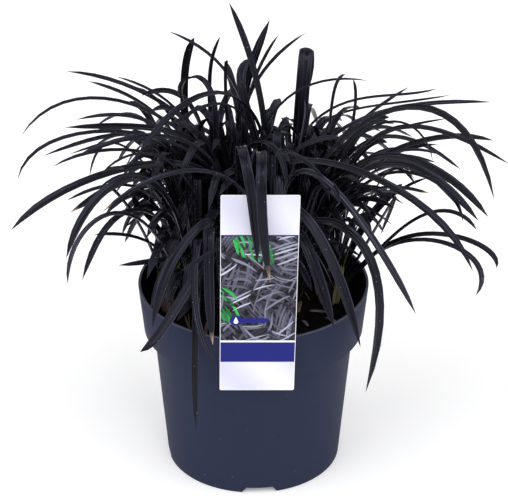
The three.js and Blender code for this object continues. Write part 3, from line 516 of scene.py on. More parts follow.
# Each field of the print: its lowest and highest point, and the number of its finish.
FIELDS = [
    (HEADER_LOW, LABEL_TOP - PICTURE_MARGIN, 3),
    (PICTURE_HIGH, HEADER_LOW, 1),
    (PICTURE_LOW, PICTURE_HIGH, 2),
    (BAND_LOW, BAND_HIGH, 1),
    (LABEL_FOOT + PICTURE_MARGIN, BAND_LOW, 3),
]
for height in (HEADER_LOW, PICTURE_HIGH, PICTURE_LOW, BAND_HIGH, BAND_LOW, FIELDS[0][1], FIELDS[-1][0]):
    split(shape, (0, 0, height), (0, 0, 1))
for right in (-1, 1):
    low = Vector((LABEL_FOOT_CENTRE + right * (LABEL_FOOT_WIDTH / 2 - PICTURE_MARGIN), 0, LABEL_FOOT))
    high = Vector((LABEL_TOP_CENTRE + right * (LABEL_TOP_WIDTH / 2 - PICTURE_MARGIN), 0, LABEL_TOP))
    split(shape, low, (high - low).cross(Vector((0, 1, 0))).normalized())
for face in shape.faces:
    spot = face.calc_center_median()
    rise = (spot.z - LABEL_FOOT) / (LABEL_TOP - LABEL_FOOT)
    middle = LABEL_FOOT_CENTRE + (LABEL_TOP_CENTRE - LABEL_FOOT_CENTRE) * rise
    for low, high, ink in FIELDS:
        inside = low < spot.z < high and abs(spot.x - middle) < LABEL_FOOT_WIDTH / 2 - PICTURE_MARGIN
        if inside and face.normal.y < -FACING_FRONT:
            face.material_index = ink
for vert in shape.verts:
    vert.co.y += label_face(vert.co.z)

hook_high = RIM_HEIGHT + GAP
far_edge = LABEL_FOOT_CENTRE + TONGUE_WIDTH / 2
hook_back = label_face(RIM_HEIGHT) - LABEL_THICKNESS / 2
lip_inside = 2 * GAP - math.sqrt((RIM_RADIUS - LIP_WIDTH) ** 2 - far_edge ** 2)
wall_inside = 2 * GAP - math.sqrt((pot_wall(RIM_HEIGHT - TONGUE_DROP) - WALL) ** 2 - far_edge ** 2)
hook = [
    (hook_back, hook_high),
    (lip_inside, hook_high),
    (wall_inside, RIM_HEIGHT - TONGUE_DROP),
    (wall_inside + LABEL_THICKNESS, RIM_HEIGHT - TONGUE_DROP),
    (lip_inside + LABEL_THICKNESS, hook_high + LABEL_THICKNESS),
    (hook_back, hook_high + LABEL_THICKNESS),
]
left_edge = LABEL_FOOT_CENTRE - TONGUE_WIDTH / 2
side_face = shape.faces.new([shape.verts.new((left_edge, y, z)) for y, z in hook])
pushed(shape, [side_face], (TONGUE_WIDTH, 0, 0))


def ink_patch(outline, layer, slot):
    """A film of ink on the label's face: its outline as (x, z), in a layer over the films below it."""
    verts = [shape.verts.new((x, label_face(z) - LABEL_THICKNESS - layer * INK, z)) for x, z in outline]
    film = shape.faces.new(verts)
    film.material_index = slot
    pushed(shape, [film], (0, -INK, 0))


def arc(centre, radius, start, end, steps):
    """Points on an arc of a circle, as (x, z)."""
    turns = [start + (end - start) * step / steps for step in range(steps + 1)]
    return [(centre[0] + radius * math.cos(turn), centre[1] + radius * math.sin(turn)) for turn in turns]


# The badge is a round navy field with a white drop in it, and a navy bar runs from it to the right.
badge_x, badge_z = BADGE_SPOT
pill_end = (badge_x + PILL_LENGTH, badge_z)
ink_patch(arc(BADGE_SPOT, BADGE_RADIUS, 0, 2 * math.pi, 40)[:-1], 0, 1)
ink_patch([(badge_x, badge_z - PILL_HEIGHT / 2)]
          + arc(pill_end, PILL_HEIGHT / 2, -math.pi / 2, math.pi / 2, 12)
          + [(badge_x, badge_z + PILL_HEIGHT / 2)], 1, 1)
ink_patch(arc((badge_x, badge_z - DROP_LOW), DROP_RADIUS, *DROP_ARC, 18)
          + [(badge_x, badge_z + DROP_TIP)], 2, 0)
bmesh.ops.recalc_face_normals(shape, faces=shape.faces[:])
label = piece("plant_label", shape, card, navy_ink, printed, pale_ink)
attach(label, "root")
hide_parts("label")

# ---- Papery scales ----------------------------------------------------------------------------
# Old leaf bases stand as dry scales in a collar round the outer left and outer right crowns. Each is a
# thin cupped strip with a torn tip, tan, pinkish brown or still lime green.
CORE_RADIUS = 8.5
LEAF_GAP = 0.3
SCALE_RING_LOW = 113
SCALE_RING_HIGH = 121.5
SCALE_RING_WALL = 1.2
SCALE_STEPS = 5
SCALE_BEND_HEIGHT = 0.7
SCALE_BEND_OUT = 0.3
BASE_WIDTH_SHARE = 0.55
SWELL_END = 0.3
TAPER_START = 0.6
TAPER_POWER = 3.5
FACING_END = 0.6
TANGENT_STEP = 0.02
HEADING_BLUR = 0.05
LEAST_HALF_WIDTH = 0.05
# Heading in degrees, lean outwards, height and width in millimetres.
SHEATHS = {
    "outer_left": [[168, 2, 33, 7], [245, 6, 38, 8], [300, 10, 27, 7], [95, 7, 44, 7]],
    "outer_right": [[75, 3, 36, 8], [300, 7, 42, 7], [245, 11, 28, 8], [150, 8, 38, 7]],
}
SHEATH_CROWNS = {"outer_left": (-62, 12), "outer_right": (58, 25)}


def unit(rows):
    """Vectors scaled to a length of one."""
    return rows / np.linalg.norm(rows, axis=-1, keepdims=True)


def curve(route, shares):
    """Points of the Bezier curve that a route's points pull, at shares of its length."""
    level = np.repeat(np.asarray(route, float)[:, None], len(shares), axis=1)
    while len(level) > 1:
        level = level[:-1] + (level[1:] - level[:-1]) * shares[:, None]
    return level[0]


def blade_width(shares):
    """A blade's width at shares of its length: it swells from its base and tapers to its tip."""
    base = np.minimum(1, shares / SWELL_END)
    swell = BASE_WIDTH_SHARE + (1 - BASE_WIDTH_SHARE) * base * (2 - base)
    run = np.maximum(0, (shares - TAPER_START) / (1 - TAPER_START))
    return swell * (1 - run ** TAPER_POWER)


def sections(route, width, twist, steps, facing_share, outline=blade_width):
    """A blade's cross-sections: centre of its upper face, sideways and upward directions, half width.
    At its root a blade faces the front or the back of the pot. It turns to lie flat as it arches over,
    and keeps facing that way where it stays upright."""
    shares = np.arange(steps + 1) / steps
    route = np.asarray(route, float)
    ahead = curve(route, np.minimum(1, shares + TANGENT_STEP))
    along = unit(ahead - curve(route, np.maximum(0, shares - TANGENT_STEP)))
    heading = unit(np.array([*(route[-1] - route[0])[:2], 1e-6]))
    facing = facing_share * math.atan(heading[0] / (abs(heading[1]) + HEADING_BLUR))
    facing *= -1 if heading[1] < 0 else 1
    upright = max(0, unit(route[-1] - route[-2])[2])
    flat = np.array([heading[1], -heading[0], 0])
    side = unit(flat - along * (along @ flat)[:, None])
    up = np.cross(side, along)
    hold = np.maximum(0, 1 - shares / FACING_END)
    turn = (facing * np.maximum(upright, hold * hold) + twist * shares)[:, None]
    turned = side * np.cos(turn) + up * np.sin(turn)
    half = np.maximum(LEAST_HALF_WIDTH, width * outline(shares) / 2)
    return {"centre": curve(route, shares), "side": turned, "up": np.cross(turned, along), "half": half}


AROUND = 16
CHANNEL = 0.7
KEEL = 0.85
EDGE = 0.16


def blade_shape():
    """An empty shape that can hold blades, with the traits and the surface places of their points."""
    shape = bmesh.new()
    shape.loops.layers.uv.new("UVMap")
    shape.verts.layers.float_vector.new("blade")
    return shape


def add_blade(shape, rows, channel, keel, traits, around_parts=AROUND):
    """Adds a closed blade to a shape: a strip with a shallow channel above and a keel below. Its traits
    are two numbers for its finish, kept with each point's share of its length."""
    steps = len(rows["half"]) - 1
    strip = bmesh.ops.create_grid(shape, x_segments=around_parts, y_segments=steps, size=0.5,
                                  calc_uvs=True)["verts"]
    layer = shape.verts.layers.float_vector["blade"]
    for vert in strip:
        around = vert.co.x + 0.5
        step = round((vert.co.y + 0.5) * steps)
        across = 1 - abs(2 * around - 1) * 2
        narrow = min(1, rows["half"][step] / 2)
        depth = -channel * (1 - across * across) * narrow
        if around > 0.5 and abs(across) < 1:
            depth -= (EDGE + keel * (1 - abs(across))) * narrow
        out = 0 if step in (0, steps) else across * rows["half"][step]
        spot = rows["centre"][step] + rows["side"][step] * out
        if step not in (0, steps):
            spot = spot + rows["up"][step] * depth
        vert.co = spot * MM
        vert[layer] = (step / steps, *traits)
    bmesh.ops.remove_doubles(shape, verts=strip, dist=MERGE)


def blade_map(finish, stretch):
    """A blade's share of its length, its two traits, its place across, and streaks drawn along it."""
    traits = add(finish, "Attribute", attribute_name="blade", attribute_type="GEOMETRY")
    trait = add(finish, "SeparateXYZ", {"Vector": traits.outputs["Vector"]}).outputs
    spot = add(finish, "SeparateXYZ", {"Vector": add(finish, "UVMap")}).outputs
    along = add(finish, "CombineXYZ", {"X": spot["X"], "Y": spot["Y"], "Z": trait["Y"]})
    drawn = add(finish, "Mapping", {"Scale": stretch, "Vector": along})
    streaks = add(finish, "TexNoise", {"Scale": 1.0, "Detail": 2.0, "Vector": drawn})
    return *trait, spot["X"], streaks


def waves(finish, across, count, kind="SINE"):
    """Even waves round a blade, from one of its edges back to that edge."""
    turns = add(finish, "Math", {0: across, 1: 2 * math.pi * count}, operation="MULTIPLY")
    return add(finish, "Math", {0: turns}, operation=kind)


# Dry leaf base: papery, lengthwise-ribbed plant tissue with a dull surface, streaked brown along its ribs
# and darker at its tip. A trait from 0 to 1 runs from beige through pinkish brown to lime green.
SCALE_TAN = linear("#b9a88a")
SCALE_PINK = linear("#b08f86")
SCALE_LIME = linear("#a3bf45")
SCALE_DARK = linear("#1f1817")
SCALE_RIBS = 5
RIB_STREAKS = 12.0

papery = finish_of("dry papery leaf base")
share, tone, _, across, streaks = blade_map(papery, (RIB_STREAKS, 2.0, 40.0))
pinkish = add(papery, "MapRange", {"From Min": 0.3, "From Max": 0.45, "Value": tone})
limy = add(papery, "MapRange", {"From Min": 0.7, "From Max": 0.8, "Value": tone})
aged = add(papery, "Math", {0: share, 1: 0.35, 2: streaks}, operation="MULTIPLY_ADD")
dark = add(papery, "MapRange", {"From Min": 0.5, "From Max": 0.95, "To Max": 0.85, "Value": aged})
colour = SCALE_TAN
for part, coat in ((pinkish, SCALE_PINK), (limy, SCALE_LIME), (dark, SCALE_DARK)):
    colour = add(papery, "Mix", {0: part, 6: colour, 7: coat}, data_type="RGBA")
ribs = waves(papery, across, 2 * SCALE_RIBS)
relief = add(papery, "Bump", {"Strength": 0.7, "Distance": 0.15 * MM, "Height": ribs})
skin = add(papery, "BsdfPrincipled", {"Roughness": 0.7, "IOR": 1.45, "Specular IOR Level": 0.25,
                                      "Base Color": colour, "Normal": relief})
add(papery, "OutputMaterial", {"Surface": skin})

# Each scale is torn lengthwise into strips that stand side by side.
STRIP_PLACES = (-0.3, 0.02, 0.31)
STRIP_SHARE = 0.42
STRIP_HEIGHTS = (0.62, 1.0)
STRIP_TWISTS = (-0.5, 0.5)
STRIP_CHANNEL = 0.5
PAPER_KEEL = 0.1

placed = []
for name, scales in SHEATHS.items():
    x, y = SHEATH_CROWNS[name]
    shape = blade_shape()
    ring = CORE_RADIUS + LEAF_GAP + SCALE_RING_WALL / 2
    for heading, lean, height, width in scales:
        out = np.array([math.cos(math.radians(heading)), math.sin(math.radians(heading))])
        pulls = [
            (ring, (2 * SCALE_RING_LOW + SCALE_RING_HIGH) / 3),
            (ring + SCALE_BEND_OUT * lean, SCALE_RING_LOW + SCALE_BEND_HEIGHT * height),
            (ring + lean, SCALE_RING_LOW + height),
        ]
        route = [(x + out[0] * away, y + out[1] * away, rise) for away, rise in pulls]
        placed.append(("sheath_" + name, sections(route, width, 0, SCALE_STEPS, 0)))
        for strip in STRIP_PLACES:
            rise = draw(*STRIP_HEIGHTS)
            beside = np.array([-out[1], out[0], 0]) * strip * width
            torn = [np.array(point) + beside for point in route]
            torn[-1][2] = SCALE_RING_LOW + rise * height
            torn[-2][2] = SCALE_RING_LOW + rise * SCALE_BEND_HEIGHT * height
            rows = sections(torn, STRIP_SHARE * width, draw(*STRIP_TWISTS), 3 * SCALE_STEPS, 0)
            add_blade(shape, rows, STRIP_CHANNEL, PAPER_KEEL, (draw(0, 1), 1))
    bmesh.ops.recalc_face_normals(shape, faces=shape.faces[:])
    collar = piece("scales_" + name, shape, papery)
    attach(collar, "root")
    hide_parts("sheath_" + name)

# ---- Leaves -----------------------------------------------------------------------------------
# Ten crowns of strap leaves grow from the soil. Each leaf is a long strip with a shallow channel, a keel
# and parallel veins, and the leaves of a crown are one piece. They stand clear of each other beyond
# their roots: a leaf that would cross another is bent away from it, as they push past each other.
SOIL_HEIGHT = 117
SOIL_SWELL = 2.2
CORE_TOP = 145
ROOT_HEIGHT = 118
ROOT_SPREAD = 4
BLADE_STEPS = 7
JOINED_STEPS = 2
BLADE_DEPTH = 1.1
FACING_SHARE = 0.8
FRONT_TWIST = 0.45
CROSSING = 0.2
HOLDER_CHECKS = 9
HOLDER_MARGIN = 1.3
CORE_MARGIN = 2.8
LEAF_STEPS = 24
# Millimetres from the pot's centre and the ground. leaves: the points that pull the curve, then the tip,
# then the width. fillers, for each group of seeded leaves: count, middle heading and spread in degrees,
# shortest and longest reach, lowest and highest tip above the soil.
TUFTS = {
    "front_left": {
        "crown": (-40, -30),
        "leaves": [
            [-45, -40, 240, -65, -45, 295, -120, -55, 265, -135, -62, 201, 7],
            [-60, -40, 225, -90, -50, 265, -135, -60, 230, -134, -68, 183, 4],
            [30, -35, 200, 15, -40, 265, -45, -45, 295, -110, -50, 231, 3.8],
            [-45, -50, 205, -35, -65, 215, -45, -80, 165, -42, -98, 79, 4.8],
            [-40, -50, 245, -30, -65, 250, -60, -80, 170, -27, -96, 134, 4.2],
            [-35, -50, 220, -30, -65, 265, -40, -80, 230, -31, -95, 148, 6.4],
            [-35, -45, 200, -25, -55, 235, -35, -65, 235, -25, -72, 168, 5],
            [0, -50, 235, -40, -65, 240, -60, -80, 150, -85, -93, 141, 6.4],
            [-10, -45, 225, -10, -60, 255, -65, -70, 220, -73, -82, 150, 5.6],
            [-25, -45, 175, -30, -55, 185, -61, -62, 156, 4.6],
            [-35, -45, 170, -35, -55, 180, -56, -66, 151, 3.8],
        ],
        "fillers": [[6, 235, 50, 20, 60, 30, 80], [5, 70, 90, 10, 45, 30, 80]],
    },
    "front_right": {
        "crown": (14, -22),
        "leaves": [
            [10, -35, 330, 45, -45, 265, 80, -60, 240, 118, -72, 160, 5.6],
            [-5, -40, 245, 65, -55, 255, 115, -70, 225, 82, -82, 99, 7],
            [-10, -50, 285, 45, -75, 280, 77, -100, 149, 7],
            [25, -45, 240, 30, -70, 255, 58, -90, 160, 7.6],
        ],
        "fillers": [[5, 330, 50, 20, 70, 30, 90]],
    },
    "left": {
        "crown": (-42, 8),
        "leaves": [
            [-60, -5, 250, -25, -20, 255, -70, -30, 174, 6.4],
            [-65, 10, 245, -60, -10, 265, -134, -30, 221, 6.4],
            [5, -5, 255, -15, -15, 275, -130, -25, 265, -177, -35, 209, 6.4],
            [-10, 10, 260, -25, 15, 275, -139, 15, 268, 5.6],
            [10, 15, 225, -40, 25, 285, -135, 30, 320, -174, 40, 247, 3.2],
            [-20, 5, 310, -131, 25, 269, 3.4],
            [20, 5, 240, -30, 5, 280, -160, 5, 295, -174, 5, 229, 3.4],
            [-35, 5, 260, -55, 5, 295, -155, 0, 252, 3.8],
            [-30, 10, 245, -50, 10, 285, -137, 10, 248, 2.8],
            [20, 5, 240, -45, 0, 300, -131, -5, 252, 4.2],
            [-10, 0, 210, -30, -5, 260, -100, -10, 280, -147, -15, 251, 3],
            [-45, 5, 215, -95, 5, 285, -115, 0, 275, -120, -10, 240, 2.4],
            [-15, 0, 230, -70, -15, 290, -109, -30, 253, 2],
            [-50, -10, 225, -80, -30, 265, -135, -45, 239, 3],
            [-40, -15, 225, -65, -30, 275, -107, -50, 253, 3],
            [-25, 20, 275, -5, 25, 325, -70, 35, 310, -51, 40, 276, 3.8],
        ],
        "fillers": [[2, 180, 40, 40, 70, 50, 90], [6, 90, 120, 15, 55, 20, 70]],
    },
    "right": {
        "crown": (30, 12),
        "leaves": [
            [5, 5, 235, 85, -5, 320, 150, -10, 335, 176, -20, 226, 6.4],
            [65, 15, 270, 95, 20, 300, 191, 25, 232, 4.6],
            [25, 20, 215, 115, 30, 270, 179, 35, 247, 5],
            [60, 10, 220, 90, 10, 270, 141, 10, 247, 2.6],
            [60, 30, 235, 80, 35, 270, 101, 38, 265, 5],
            [60, 30, 225, 85, 35, 255, 100, 38, 244, 5],
            [45, 15, 235, 75, 15, 295, 125, 20, 285, 133, 20, 236, 2.2],
            [50, 5, 235, 70, -5, 285, 135, -15, 265, 172, -22, 213, 6.8],
            [40, 0, 220, 80, -10, 275, 120, -20, 270, 164, -32, 215, 6.8],
            [60, 0, 235, 90, -15, 275, 150, -25, 250, 152, -40, 219, 3.2],
            [-30, -5, 260, 0, -25, 295, 130, -40, 265, 159, -60, 189, 5.8],
        ],
        "fillers": [[9, 5, 45, 60, 120, 90, 150], [4, 90, 120, 15, 55, 20, 70]],
    },
    "outer_left": {
        "crown": (-62, 12),
        "leaves": [
            [-35, -5, 195, -80, -20, 240, -105, -35, 240, -125, -48, 175, 4.8],
            [-50, 5, 165, -75, -5, 195, -118, -10, 192, 3.2],
            [-50, 10, 175, -70, 10, 235, -80, 10, 237, 4.2],
            [-70, 10, 185, -110, 5, 235, -106, 0, 224, 4],
            [-45, 10, 185, -90, 5, 200, -89, 0, 222, 3.8],
        ],
        "fillers": [[5, 185, 90, 25, 50, 35, 80]],
    },
    "outer_right": {
        "crown": (58, 25),
        "leaves": [
            [95, 10, 190, 130, -15, 205, 185, -35, 190, 163, -50, 163, 4.4],
            [100, 15, 190, 125, 5, 195, 185, -5, 185, 180, -15, 166, 4.6],
            [100, 0, 180, 115, -5, 215, 150, -5, 220, 165, -10, 195, 3.6],
            [70, 25, 160, 85, 20, 195, 111, 20, 219, 5.6],
            [105, 20, 210, 115, 15, 235, 95, 10, 181, 4.2],
            [75, 15, 175, 95, 10, 220, 128, 0, 234, 2.4],
            [75, 15, 195, 95, 5, 245, 105, 0, 255, 119, -10, 233, 2.4],
        ],
        "fillers": [[8, 10, 80, 25, 60, 45, 100]],
    },
    "centre": {
        "crown": (-8, 18),
        "leaves": [
            [30, -5, 250, 15, -20, 340, -40, -40, 350, -83, -60, 282, 4.8],
            [20, -5, 270, 0, -20, 340, -61, -40, 295, 3],
            [-25, 50, 310, -19, 40, 310, 2.4],
            [20, 30, 195, 15, 35, 285, -18, 45, 355, 4.6],
            [35, 25, 245, -30, 25, 295, -2, 30, 317, 7],
            [40, -40, 290, 36, -30, 313, 2.6],
            [-5, 10, 270, -20, -95, 340, 0, -100, 310, 3, -95, 215, 6.4],
            [-5, 10, 275, 20, -100, 335, -5, -105, 305, 12, -98, 202, 6.4],
            [-35, 0, 225, -25, -20, 290, 20, -35, 305, 22, -50, 250, 4],
            [-5, -10, 250, 5, -35, 305, 51, -60, 265, 3.6],
            [-10, 0, 185, -35, -20, 180, -99, -35, 180, 4.6],
            [5, -10, 185, -5, -35, 220, -46, -60, 232, 2.6],
            [0, -45, 220, 0, -85, 240, -52, -92, 207, 2.8],
        ],
        "fillers": [[15, 270, 180, 15, 75, 70, 190], [8, 90, 180, 10, 50, 30, 90]],
    },
    "back_left": {
        "crown": (-35, 50),
        "leaves": [
            [35, 60, 185, -55, 65, 285, -141, 75, 285, 3.6],
            [-10, 45, 270, -103, 60, 288, 2.8],
            [-25, 50, 265, -123, 50, 289, 4.2],
            [-40, 55, 270, -92, 80, 270, 2.8],
            [15, 55, 225, 5, 55, 300, -63, 60, 325, 3.4],
            [-50, 60, 215, -60, 65, 290, -44, 70, 316, 5.8],
            [-20, 55, 260, -50, 60, 290, -84, 60, 272, 5],
            [-30, 55, 240, -55, 60, 275, -77, 60, 259, 5],
            [-20, 50, 220, -45, 50, 290, -24, 50, 326, 4],
        ],
        "fillers": [[11, 120, 50, 60, 120, 30, 120], [6, 180, 180, 15, 60, 20, 80]],
    },
    "back_right": {
        "crown": (32, 52),
        "leaves": [
            [-20, 55, 200, -20, 55, 260, 12, 55, 336, 6],
            [-15, 50, 195, -20, 50, 265, 19, 50, 327, 4.6],
            [-25, 55, 205, -25, 60, 280, 39, 60, 324, 2.6],
            [-30, 60, 215, 10, 70, 295, 87, 75, 277, 2.2],
            [65, 55, 200, 50, 65, 285, 69, 70, 285, 2.8],
            [85, 60, 255, 74, 60, 286, 3.6],
            [30, 70, 210, 40, 80, 285, 40, 95, 340, 42, 112, 250, 9.6],
            [15, 65, 205, 5, 75, 240, 10, 85, 280, 10, 95, 221, 6.4],
            [-5, 60, 220, 50, 70, 290, 90, 75, 255, 140, 85, 266, 2.8],
            [15, 60, 280, 60, 70, 250, 150, 80, 263, 2.4],
            [30, 60, 190, 60, 70, 240, 118, 75, 273, 4],
            [15, 50, 230, 60, 45, 280, 178, 45, 274, 4],
            [55, 45, 195, 90, 35, 245, 137, 30, 247, 3],
            [60, 55, 230, 80, 55, 245, 146, 60, 253, 2.4],
        ],
        "fillers": [[12, 35, 50, 60, 130, 30, 110], [6, 0, 180, 15, 60, 20, 80]],
    },
    "back": {
        "crown": (0, 62),
        "leaves": [
            [-5, 85, 250, -22, 100, 282, 6],
        ],
        "fillers": [[20, 90, 75, 50, 100, 10, 95], [8, 270, 180, 15, 60, 20, 90]],
    },
}

laid = {"first": np.zeros((0, 3, 3)), "last": np.zeros((0, 3, 3)), "halves": np.zeros((0, 2)),
        "step": np.zeros(0, int), "owner": np.zeros(0, "U20")}


def frames_of(rows):
    """A blade's cross-sections in one array: the centre, sideways and upward direction of each."""
    return np.stack([rows["centre"], rows["side"], rows["up"]], axis=1)


def lay(rows, owner):
    """Keeps a placed blade's stretches, so that later blades stay clear of them."""
    frames, halves = frames_of(rows), rows["half"]
    count = len(halves) - 1
    more = {"first": frames[:-1], "last": frames[1:], "halves": np.stack([halves[:-1], halves[1:]], axis=1),
            "step": np.arange(count), "owner": [owner] * count}
    for key in laid:
        laid[key] = np.concatenate([laid[key], more[key]])


def reach(frames, halves, way):
    """How far cross-sections reach along a direction."""
    across, deep = (abs((frames[..., axis, :] * way).sum(-1)) for axis in (1, 2))
    return halves * across + BLADE_DEPTH * deep


def meets_blades(rows, owner):
    """True where a blade comes too near a placed one. Blades of one crown may join near their roots."""
    frames = frames_of(rows)[:, None]
    halves = rows["half"][:, None]
    start = frames[:-1, :, 0]
    d1 = frames[1:, :, 0] - start
    d2 = laid["last"][:, 0] - laid["first"][:, 0]
    gap = start - laid["first"][:, 0]
    a, e, b = (d1 * d1).sum(-1), (d2 * d2).sum(-1), (d1 * d2).sum(-1)
    c, f = (d1 * gap).sum(-1), (d2 * gap).sum(-1)
    spread = a * e - b * b
    u = np.where(spread > 1e-9, np.clip((b * f - c * e) / np.maximum(spread, 1e-9), 0, 1), 0)
    v = (b * u + f) / e
    u = np.where(v < 0, np.clip(-c / a, 0, 1), np.where(v > 1, np.clip((b - c) / a, 0, 1), u))
    offset = gap + d1 * u[..., None] - d2 * np.clip(v, 0, 1)[..., None]
    distance = np.linalg.norm(offset, axis=-1)
    way = offset / np.maximum(distance, 1e-9)[..., None]
    needed = LEAF_GAP + np.maximum(reach(frames[:-1], halves[:-1], way), reach(frames[1:], halves[1:], way))
    needed += np.maximum(reach(laid["first"], laid["halves"][:, 0], way),
                         reach(laid["last"], laid["halves"][:, 1], way))
    joined = (np.arange(len(d1))[:, None] < JOINED_STEPS) | (laid["step"] < JOINED_STEPS)
    near = (distance < CROSSING) | (distance < needed)
    return bool((near & ~(joined & (laid["owner"] == owner))).any())


def meets_holder(rows, crown, lowest):
    """True where a blade comes too near the pot, the soil, the ground, the label or another crown."""
    shares = np.arange(1, HOLDER_CHECKS + 1)[:, None] / HOLDER_CHECKS
    centre = rows["centre"][:-1, None] + (rows["centre"][1:] - rows["centre"][:-1])[:, None] * shares
    side = rows["side"][1:, None] * np.maximum(rows["half"][:-1], rows["half"][1:])[:, None, None]
    keel = rows["up"][1:, None] * BLADE_DEPTH
    x, y, z = np.moveaxis(np.stack([centre, centre + side, centre - side, centre - keel]), -1, 0)
    radius = np.hypot(x, y)
    wall = pot_wall(z * MM) / MM
    in_wall = (radius > wall - WALL / MM - 1 - HOLDER_MARGIN) & (radius < wall + HOLDER_MARGIN)
    own = np.hypot(x - crown[0], y - crown[1]) <= CORE_RADIUS - LEAF_GAP
    in_soil = (radius < RIM_RADIUS / MM) & (z < lowest + HOLDER_MARGIN) & ~own
    beside = abs(x - LABEL_TOP_CENTRE / MM) > LABEL_TOP_WIDTH / MM / 2 + 3 * HOLDER_MARGIN
    level = (z > LABEL_FOOT / MM - HOLDER_MARGIN) & (z < LABEL_TOP / MM + HOLDER_MARGIN)
    back = label_face(z * MM) / MM
    in_label = (y > back - LABEL_THICKNESS / MM - HOLDER_MARGIN) & (y < back + HOLDER_MARGIN)
    blocked = (z < RIM_HEIGHT / MM + HOLDER_MARGIN) & in_wall | in_soil | (z < HOLDER_MARGIN)
    blocked |= level & ~beside & in_label
    for other in TUFTS.values():
        if other["crown"] != crown:
            away = np.hypot(x - other["crown"][0], y - other["crown"][1])
            blocked |= (z < CORE_TOP) & (away < CORE_RADIUS + CORE_MARGIN)
    return bool(blocked.any())


def root_of(crown, toward):
    """Where a blade leaves its crown on its way to its tip."""
    way = np.array([toward[0] - crown[0], toward[1] - crown[1]])
    spread = ROOT_SPREAD * way / max(1, np.hypot(*way))
    return [crown[0] + spread[0], crown[1] + spread[1], ROOT_HEIGHT]


# A blade that would cross another piece is bent away from it: backwards or forwards, then up, down and
# sideways, a little further at each try.
BENDS = np.array([[0, 0.87, -0.49], [0, -0.87, 0.49], [0, 0, 0.4], [0.4, 0, 0], [-0.4, 0, 0], [0, 0, -0.4]])
BEND_STEP = 3
LISTED_TRIES = 60
SEEDED_TRIES = 7
REDRAWS = 12
blades = []


def place_blade(owner, route, width, twist, tries):
    """Bends a blade clear of what is placed, and keeps it. False where no bend clears it."""
    lowest = SCALE_RING_HIGH if owner in SHEATHS else SOIL_HEIGHT + SOIL_SWELL
    yields = np.ones((len(route), 1))
    yields[0], yields[-1] = 0, 0.5
    for attempt in range(tries):
        size = BEND_STEP * math.ceil(attempt / len(BENDS))
        bent = np.array(route, float) + BENDS[attempt % len(BENDS)] * size * yields
        rows = sections(bent, width, twist, BLADE_STEPS, FACING_SHARE)
        if not meets_holder(rows, TUFTS[owner]["crown"], lowest) and not meets_blades(rows, owner):
            lay(rows, owner)
            blades.append((owner, bent, width, twist))
            return True
    return False


for owner, rows in placed:
    lay(rows, owner)
for name, tuft in TUFTS.items():
    crown = tuft["crown"]
    for numbers in tuft["leaves"]:
        points = [numbers[i:i + 3] for i in range(0, len(numbers) - 1, 3)]
        across, back = points[-1][0] - crown[0], points[-1][1] - crown[1]
        twist = -FRONT_TWIST * across / math.hypot(across, back)
        place_blade(name, [root_of(crown, points[-1]), *points], numbers[-1], twist, LISTED_TRIES)

# A seeded blade's draws: how far out its curve is pulled, how high, its width and its twist.
BOW = (0.05, 0.45)
LIFT = (0.75, 1.1)
LIFT_LEAST = 90
LIFT_SHARE = 0.7
WIDTHS = (4, 6.2)
TWISTS = (-0.6, 0.6)
state = 1851


def draw_blade(name, middle, spread, near, far, low, high):
    """Draws one blade and places it. False where it finds no clear way."""
    x, y = TUFTS[name]["crown"]
    angle = (middle + draw(-spread, spread)) * math.pi / 180
    out = draw(near, far)
    bow = draw(*BOW)
    lift = draw(*LIFT) * (LIFT_LEAST + LIFT_SHARE * far)
    fall = min(draw(low, high), lift)
    width = draw(*WIDTHS)
    twist = draw(*TWISTS)
    pull = [x + bow * out * math.cos(angle), y + bow * out * math.sin(angle), SOIL_HEIGHT + lift]
    tip = [x + out * math.cos(angle), y + out * math.sin(angle), SOIL_HEIGHT + fall]
    return place_blade(name, [root_of((x, y), tip), pull, tip], width, twist, SEEDED_TRIES)


for name, tuft in TUFTS.items():
    for count, *ranges in tuft["fillers"]:
        for blade in range(count):
            any(draw_blade(name, *ranges) for redraw in range(REDRAWS))

# Leaf of black mondo grass: smooth, leathery and almost black, with a violet to olive cast and a paler
# base, lime green where its last trait is -1. Violet-grey streaks between the veins are painted sheen,
# its thin edges are painted paler as a highlight, and specks of dust lie on it. The tip has dried where the
# last trait is 1. The veins are drawn three to a face, far coarser than real ones, so that they show.
LEAF_VIOLET = linear("#08080c")
LEAF_OLIVE = linear("#090a09")
LEAF_BROWN = linear("#140f0e")
LEAF_BASE = linear("#45442b")
LEAF_LIME = linear("#74902f")
LEAF_DRY = linear("#a58d7e")
# Violet-grey of the painted sheen streaks.
LEAF_SHEEN = linear("#595869")
# Paler violet of the painted highlight on the leaf edges.
LEAF_EDGE_HIGHLIGHT = linear("#504d63")
LEAF_DUST = linear("#b4b4c0")
VEINS = 6
SHEEN_STREAKS = 16.0
SHEEN_LENGTH = 3.0
SPECK_SPACING = 4.3 * MM
GLOSS_PATCH = 12 * MM

leaf = finish_of("waxy black leaf")
share, tone, mark, across, streaks = blade_map(leaf, (SHEEN_STREAKS, SHEEN_LENGTH, 60.0))
place = add(leaf, "TexCoord").outputs["Object"]
olive = add(leaf, "MapRange", {"From Min": 0.45, "From Max": 0.75, "Value": tone})
brown = add(leaf, "MapRange", {"From Min": 0.86, "From Max": 0.95, "Value": tone})
veins = waves(leaf, across, VEINS)
# Painted sheen: violet-grey streaks between the veins, stronger on leaves of low tone.
waxy = add(leaf, "Math", {0: veins, 1: 0.1, 2: streaks}, operation="MULTIPLY_ADD")
streak = add(leaf, "MapRange", {"From Min": 0.5, "From Max": 0.76, "Value": waxy})
heavy = add(leaf, "MapRange", {"From Min": 0.24, "From Max": 0.12, "To Min": 0.15, "To Max": 0.8,
                               "Value": tone})
painted_sheen = add(leaf, "Math", {0: streak, 1: heavy}, operation="MULTIPLY")
